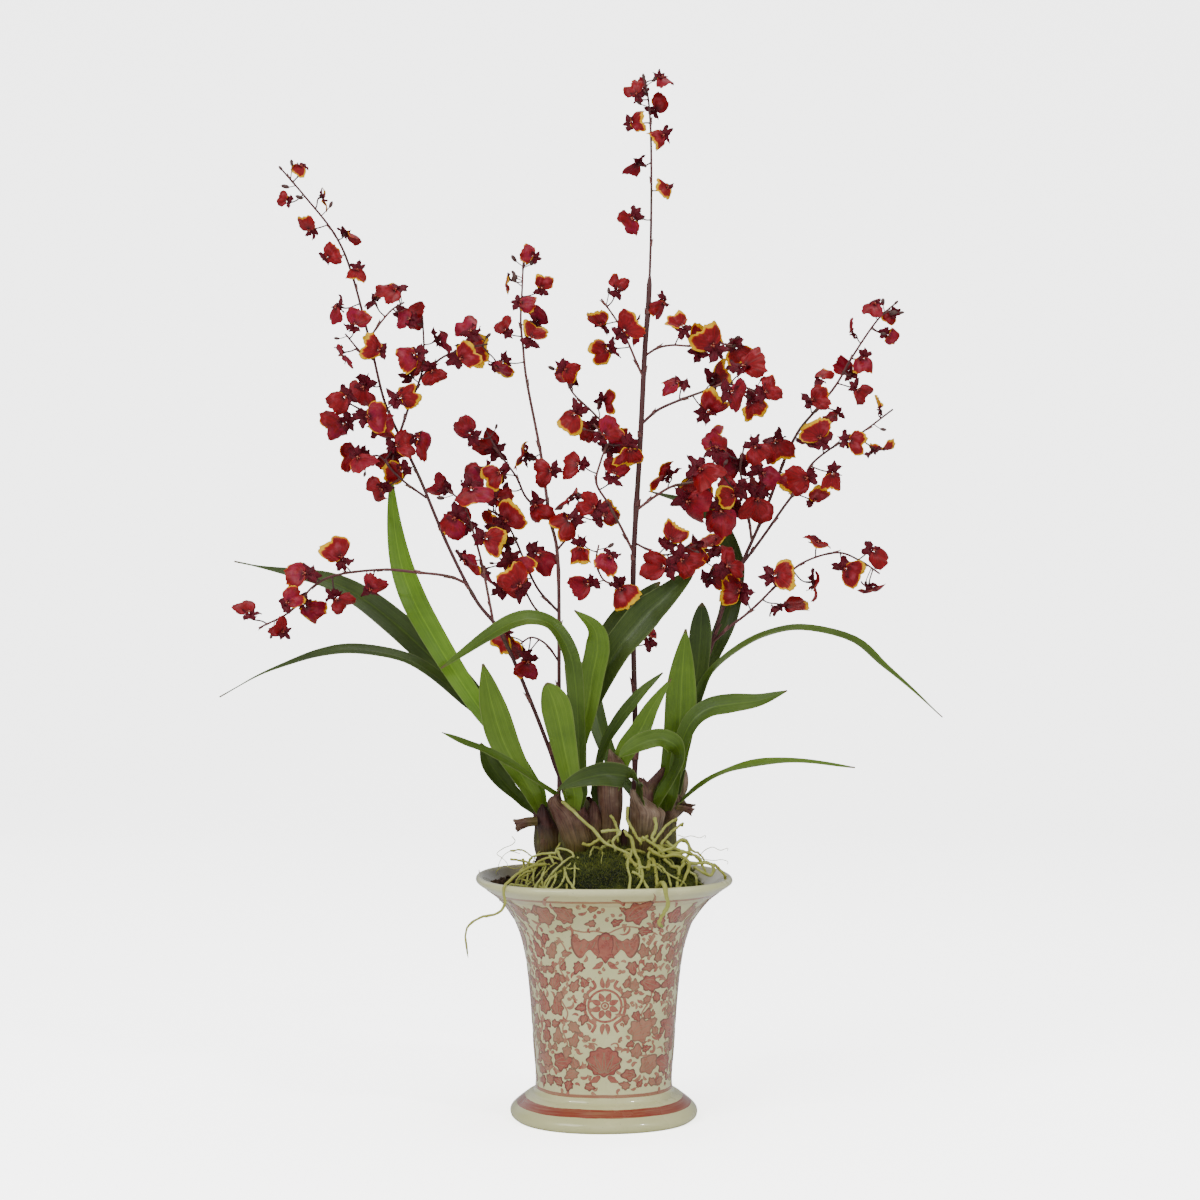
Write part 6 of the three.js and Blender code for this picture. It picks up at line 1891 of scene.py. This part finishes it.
def sepal_grid(rng, tip_x, tip_y, width):
    length = math.hypot(tip_x, tip_y) * rng.uniform(0.78, 1.08)
    along, across = unit(vector(tip_x, tip_y, 0)), unit(vector(-tip_y, tip_x, 0))
    t = np.linspace(0, 1, SEPAL_STEPS)
    lift = rng.uniform(-0.5, 0.5) + rng.uniform(-2.6, 2.4) * t**2
    sway = rng.uniform(-0.5, 0.5) * t + rng.uniform(-0.3, 0.3)
    step = length / (SEPAL_STEPS - 1)
    shares = np.cos(lift) * np.cos(sway), np.cos(lift) * np.sin(sway), np.sin(lift)
    heading = sum(share[:, None] * axis for share, axis in zip(shares, (along, across, vector(0, 0, 1))))
    line = along * 0.7 + np.cumsum(np.vstack([vector(0, 0, 0), heading[:-1] * step]), axis=0)
    twist = rng.uniform(-0.9, 0.9) * t
    normal = units(np.cross(heading, across))
    side = units(np.cross(normal, heading))
    side = side * np.cos(twist)[:, None] + normal * np.sin(twist)[:, None]
    half = width / 2 * rng.uniform(0.8, 1.1) * np.interp(t, [0, 0.15, 0.4, 0.7, 0.88, 1],
                                                         [0.6, 0.85, 1, 0.72, 0.36, 0.06])
    half = half * (1 + 0.2 * np.sin(t * rng.uniform(10, 16) + rng.uniform(0, 6.3)))
    s = np.linspace(-1, 1, 5)
    crinkle = 0.75 * np.sin(t * rng.uniform(9, 14) + rng.uniform(0, 6.3))[:, None] * s**2 * np.sign(s)
    channel = 0.4 * half[:, None] * s**2
    return line[:, None] + side[:, None] * (s * half[:, None])[..., None] + (
        np.cross(heading, side)[:, None] * -(channel + crinkle)[..., None])

# %% [markdown]
# ### A whole bloom on its pedicel
# Lips come in twelve kinds and sepals in six, each kind with its own cell of the picture, so the
# colours can be baked once for a kind. The pedicel leaves its stem sideways, sweeps round in
# a bow and thickens to the ovary behind the star.

# %% Put a bloom together
LIP_THICK = 0.36
SEPAL_THICK = 0.42
PEDICEL_STATIONS = 13
YOUNGEST_SMALLER = 0.25


def bow_line(a, b, c, d, stations):
    """A line that leaves a towards b and reaches d from c."""
    t = np.linspace(0, 1, stations)[:, None]
    return a * (1 - t) ** 3 + 3 * b * t * (1 - t) ** 2 + 3 * c * t**2 * (1 - t) + d * t**3


def add_bloom(heap, bloom, rng):
    at, face, lip = bloom["at"], bloom["face"], bloom["lip"]
    size = bloom["size"] * (1 - YOUNGEST_SMALLER * smooth_step(bloom["t"], 0.82, 1))
    basis = np.stack([np.cross(face, lip), -lip, face])

    def placed(points):
        return at + size * (points @ basis)

    kind = rng.randrange(LIP_KINDS)
    cell = (kind % 4 / 4, 0.25 + kind // 4 / 4, kind % 4 / 4 + 0.245, 0.25 + kind // 4 / 4 + 0.245)
    points, faces, local = sheet(lip_grid(rng), LIP_THICK / size)
    margin = (kind * 5 % LIP_KINDS) / (LIP_KINDS - 1)
    heap.add(placed(points), faces, local, LIP, cell, margin)
    for tip_x, tip_y, width in STAR_TIPS:
        kind = rng.randrange(SEPAL_KINDS)
        cell = (kind / 6, 0.12, kind / 6 + 0.16, 0.24)
        points, faces, local = sheet(sepal_grid(rng, tip_x, tip_y, width), SEPAL_THICK / size)
        heap.add(placed(points), faces, local, STAR, cell)
    small = (0.0, 0.06, 0.1, 0.11)
    for x, y, z, wide, tall in ((0, -2.4, 1.8, 1.0, 1.1), (1.1, -3.8, 1.6, 0.55, 0.6),
                                (-1.1, -3.8, 1.6, 0.55, 0.6), (0, 0.5, 1.4, 1.15, 1.9)):
        points, faces, local = lump(vector(x, y, z), (wide, tall), rng, 3, 7)
        heap.add(placed(points), faces, local, CREST if y < 0 else STAR, small)
    start = curve_points(bloom["route"], bloom["t"])[0]
    reach = math.dist(start, at)
    neck = at - face * 0.6 * size
    leave = unit(bloom["out"] + 0.25 * bloom["along"] + vector(0, 0, rng.uniform(-0.5, 0.2)))
    line = bow_line(start, start + leave * reach * 0.5, neck - face * reach * 0.42 - UP * reach * 0.1,
                    neck, PEDICEL_STATIONS)
    t = np.linspace(0, 1, PEDICEL_STATIONS)
    radii = 0.62 + 0.35 * np.exp(-((t / 0.05) ** 2)) + 0.5 * np.exp(-(((t - 0.9) / 0.14) ** 2))
    heap.add(*rod(line, radii, 6), STEM, (0.2, 0.0, 0.4, 0.1), rng.choice((0.0, 0.1, 0.2, 0.4)))

# %% Stalks, branches, their nodes and buds
STEM_TIP_RADIUS = 0.75
STIFF_ROD_END = {"tall": 0.66}
NODE_EVERY = 34
BRACT_LENGTH = 5.5


def add_bract(heap, at, along, out, length, radius, mood):
    """A small papery scale that clasps the stem at a node."""
    across = unit(np.cross(along, out))
    t = np.linspace(0, 1, 6)
    s = np.linspace(-1, 1, 5)
    line = at + np.outer(t * length, along) + np.outer(radius + 0.25 + 0.9 * t**2 * length * 0.16, out)
    half = radius * 1.5 * np.interp(t, [0, 0.3, 0.8, 1], [1, 1, 0.5, 0.05])
    grid = line[:, None] + across * (s * half[:, None])[..., None] - out * (
        (s**2 * half[:, None]) * 0.6)[..., None]
    heap.add(*sheet(grid, 0.3), STEM, (0.4, 0.0, 0.5, 0.1), mood)


def add_stem(heap, rng, base_radius, route, stalk, rod_end):
    stations = 8 * (len(route) - 1) + 1
    t = np.linspace(0, 1, stations)
    line = curve_points(route, t)
    radii = base_radius + (STEM_TIP_RADIUS - base_radius) * t
    if rod_end:
        radii = np.where(t < rod_end, base_radius, STEM_TIP_RADIUS * 1.4 - 0.3 * smooth_step(t, rod_end, 1))
    travelled = np.concatenate([[0], np.cumsum(np.linalg.norm(np.diff(line, axis=0), axis=1))])
    headings = directions(line)
    first = 26 if stalk else 12
    every = NODE_EVERY * (1.5 if stalk else 0.8)
    for k, place in enumerate(np.arange(first, travelled[-1] - 6, every)):
        radii = radii * (1 + 0.28 * np.exp(-(((travelled - place) / 1.6) ** 2)))
        i = int(np.searchsorted(travelled, place))
        side = unit(np.cross(headings[i], FRONT)) * (1 if k % 2 else -1)
        out = unit(side + 0.5 * FRONT - headings[i] * (headings[i] @ (side + 0.5 * FRONT)))
        long = BRACT_LENGTH * (2.0 if stalk and line[i, 2] < 420 else 1.0) * rng.uniform(0.7, 1.2)
        add_bract(heap, line[i], headings[i], out, long, radii[i], rng.uniform(0.5, 0.9))
    if not stalk:
        line[0] = line[0] - headings[0] * 1.2
    mood = 0.25 if rod_end else rng.uniform(0.15, 0.75)
    heap.add(*rod(line, radii, 8), STEM, (0.5, 0.0, 1.0, 0.1), mood)


def add_bud(heap, rng, at, along, size):
    points, faces, local = lump(at, (1.9 * size, 3.7 * size), rng, 7, 8, along, 0.05)
    heap.add(points, faces, local, BUD, (0.1, 0.0, 0.2, 0.1))


def add_bud_on_pedicel(heap, rng, start, along, at, size):
    add_bud(heap, rng, at, unit(at - start + 4 * along), size)
    line = bow_line(start, start + unit(at - start) * 3, at - unit(at - start + 4 * along) * 4, at, 8)
    heap.add(*rod(line, 0.45, 6), STEM, (0.2, 0.0, 0.4, 0.1), 0.4)


def tip_buds(heap, rng, route, stalk):
    """The youngest buds, that stand off the last part of a stem on hair-thin pedicels."""
    for t in (0.9, 0.945, 0.975) if stalk else (0.93,):
        start, along = stem_at(route, t + rng.uniform(-0.02, 0.015))
        lateral = unit(np.cross(along, FRONT)) * rng.choice((-1, 1))
        out = unit(lateral + along * rng.uniform(0.2, 1.1) + FRONT * rng.uniform(-0.5, 0.5))
        add_bud_on_pedicel(heap, rng, start, along, start + out * rng.uniform(8, 14), rng.uniform(0.6, 0.95))


def spray(spike):
    seed, stems = SPIKES[spike]
    rng = random.Random(seed)
    heap = Heap()
    for k, (radius, _, route) in enumerate(stems):
        add_stem(heap, rng, radius, route, k == 0, STIFF_ROD_END.get(spike) if k == 0 else None)
    for bloom in blooms[spike]:
        add_bloom(heap, bloom, rng)
    for bud in buds[spike]:
        if bud["reach"]:
            add_bud_on_pedicel(heap, rng, bud["start"], bud["along"], bud["at"], bud["size"])
        else:
            add_bud(heap, rng, bud["at"], bud["along"], 0.7 * bud["size"])
    for k, (_, _, route) in enumerate(stems):
        tip_buds(heap, rng, route, k == 0)
    return heap


for spike in SPIKES:
    piece = spray(spike).build(f"flower_spike_{spike}", SPRAY_FINISHES, crease=65)
    settle(piece, "bloom", f"spike_{spike}")

# %% [markdown]
# ## Sizes
# The finished plant should fill the same box as its solids. Both boxes are printed, so that
# they can be compared after each change.

# %% Print both boxes
look_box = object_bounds()
sizes = {"solids": [list(corner) for corner in cad_box], "finished": [list(corner) for corner in look_box]}
print("solids  ", sizes["solids"])
print("finished", sizes["finished"])
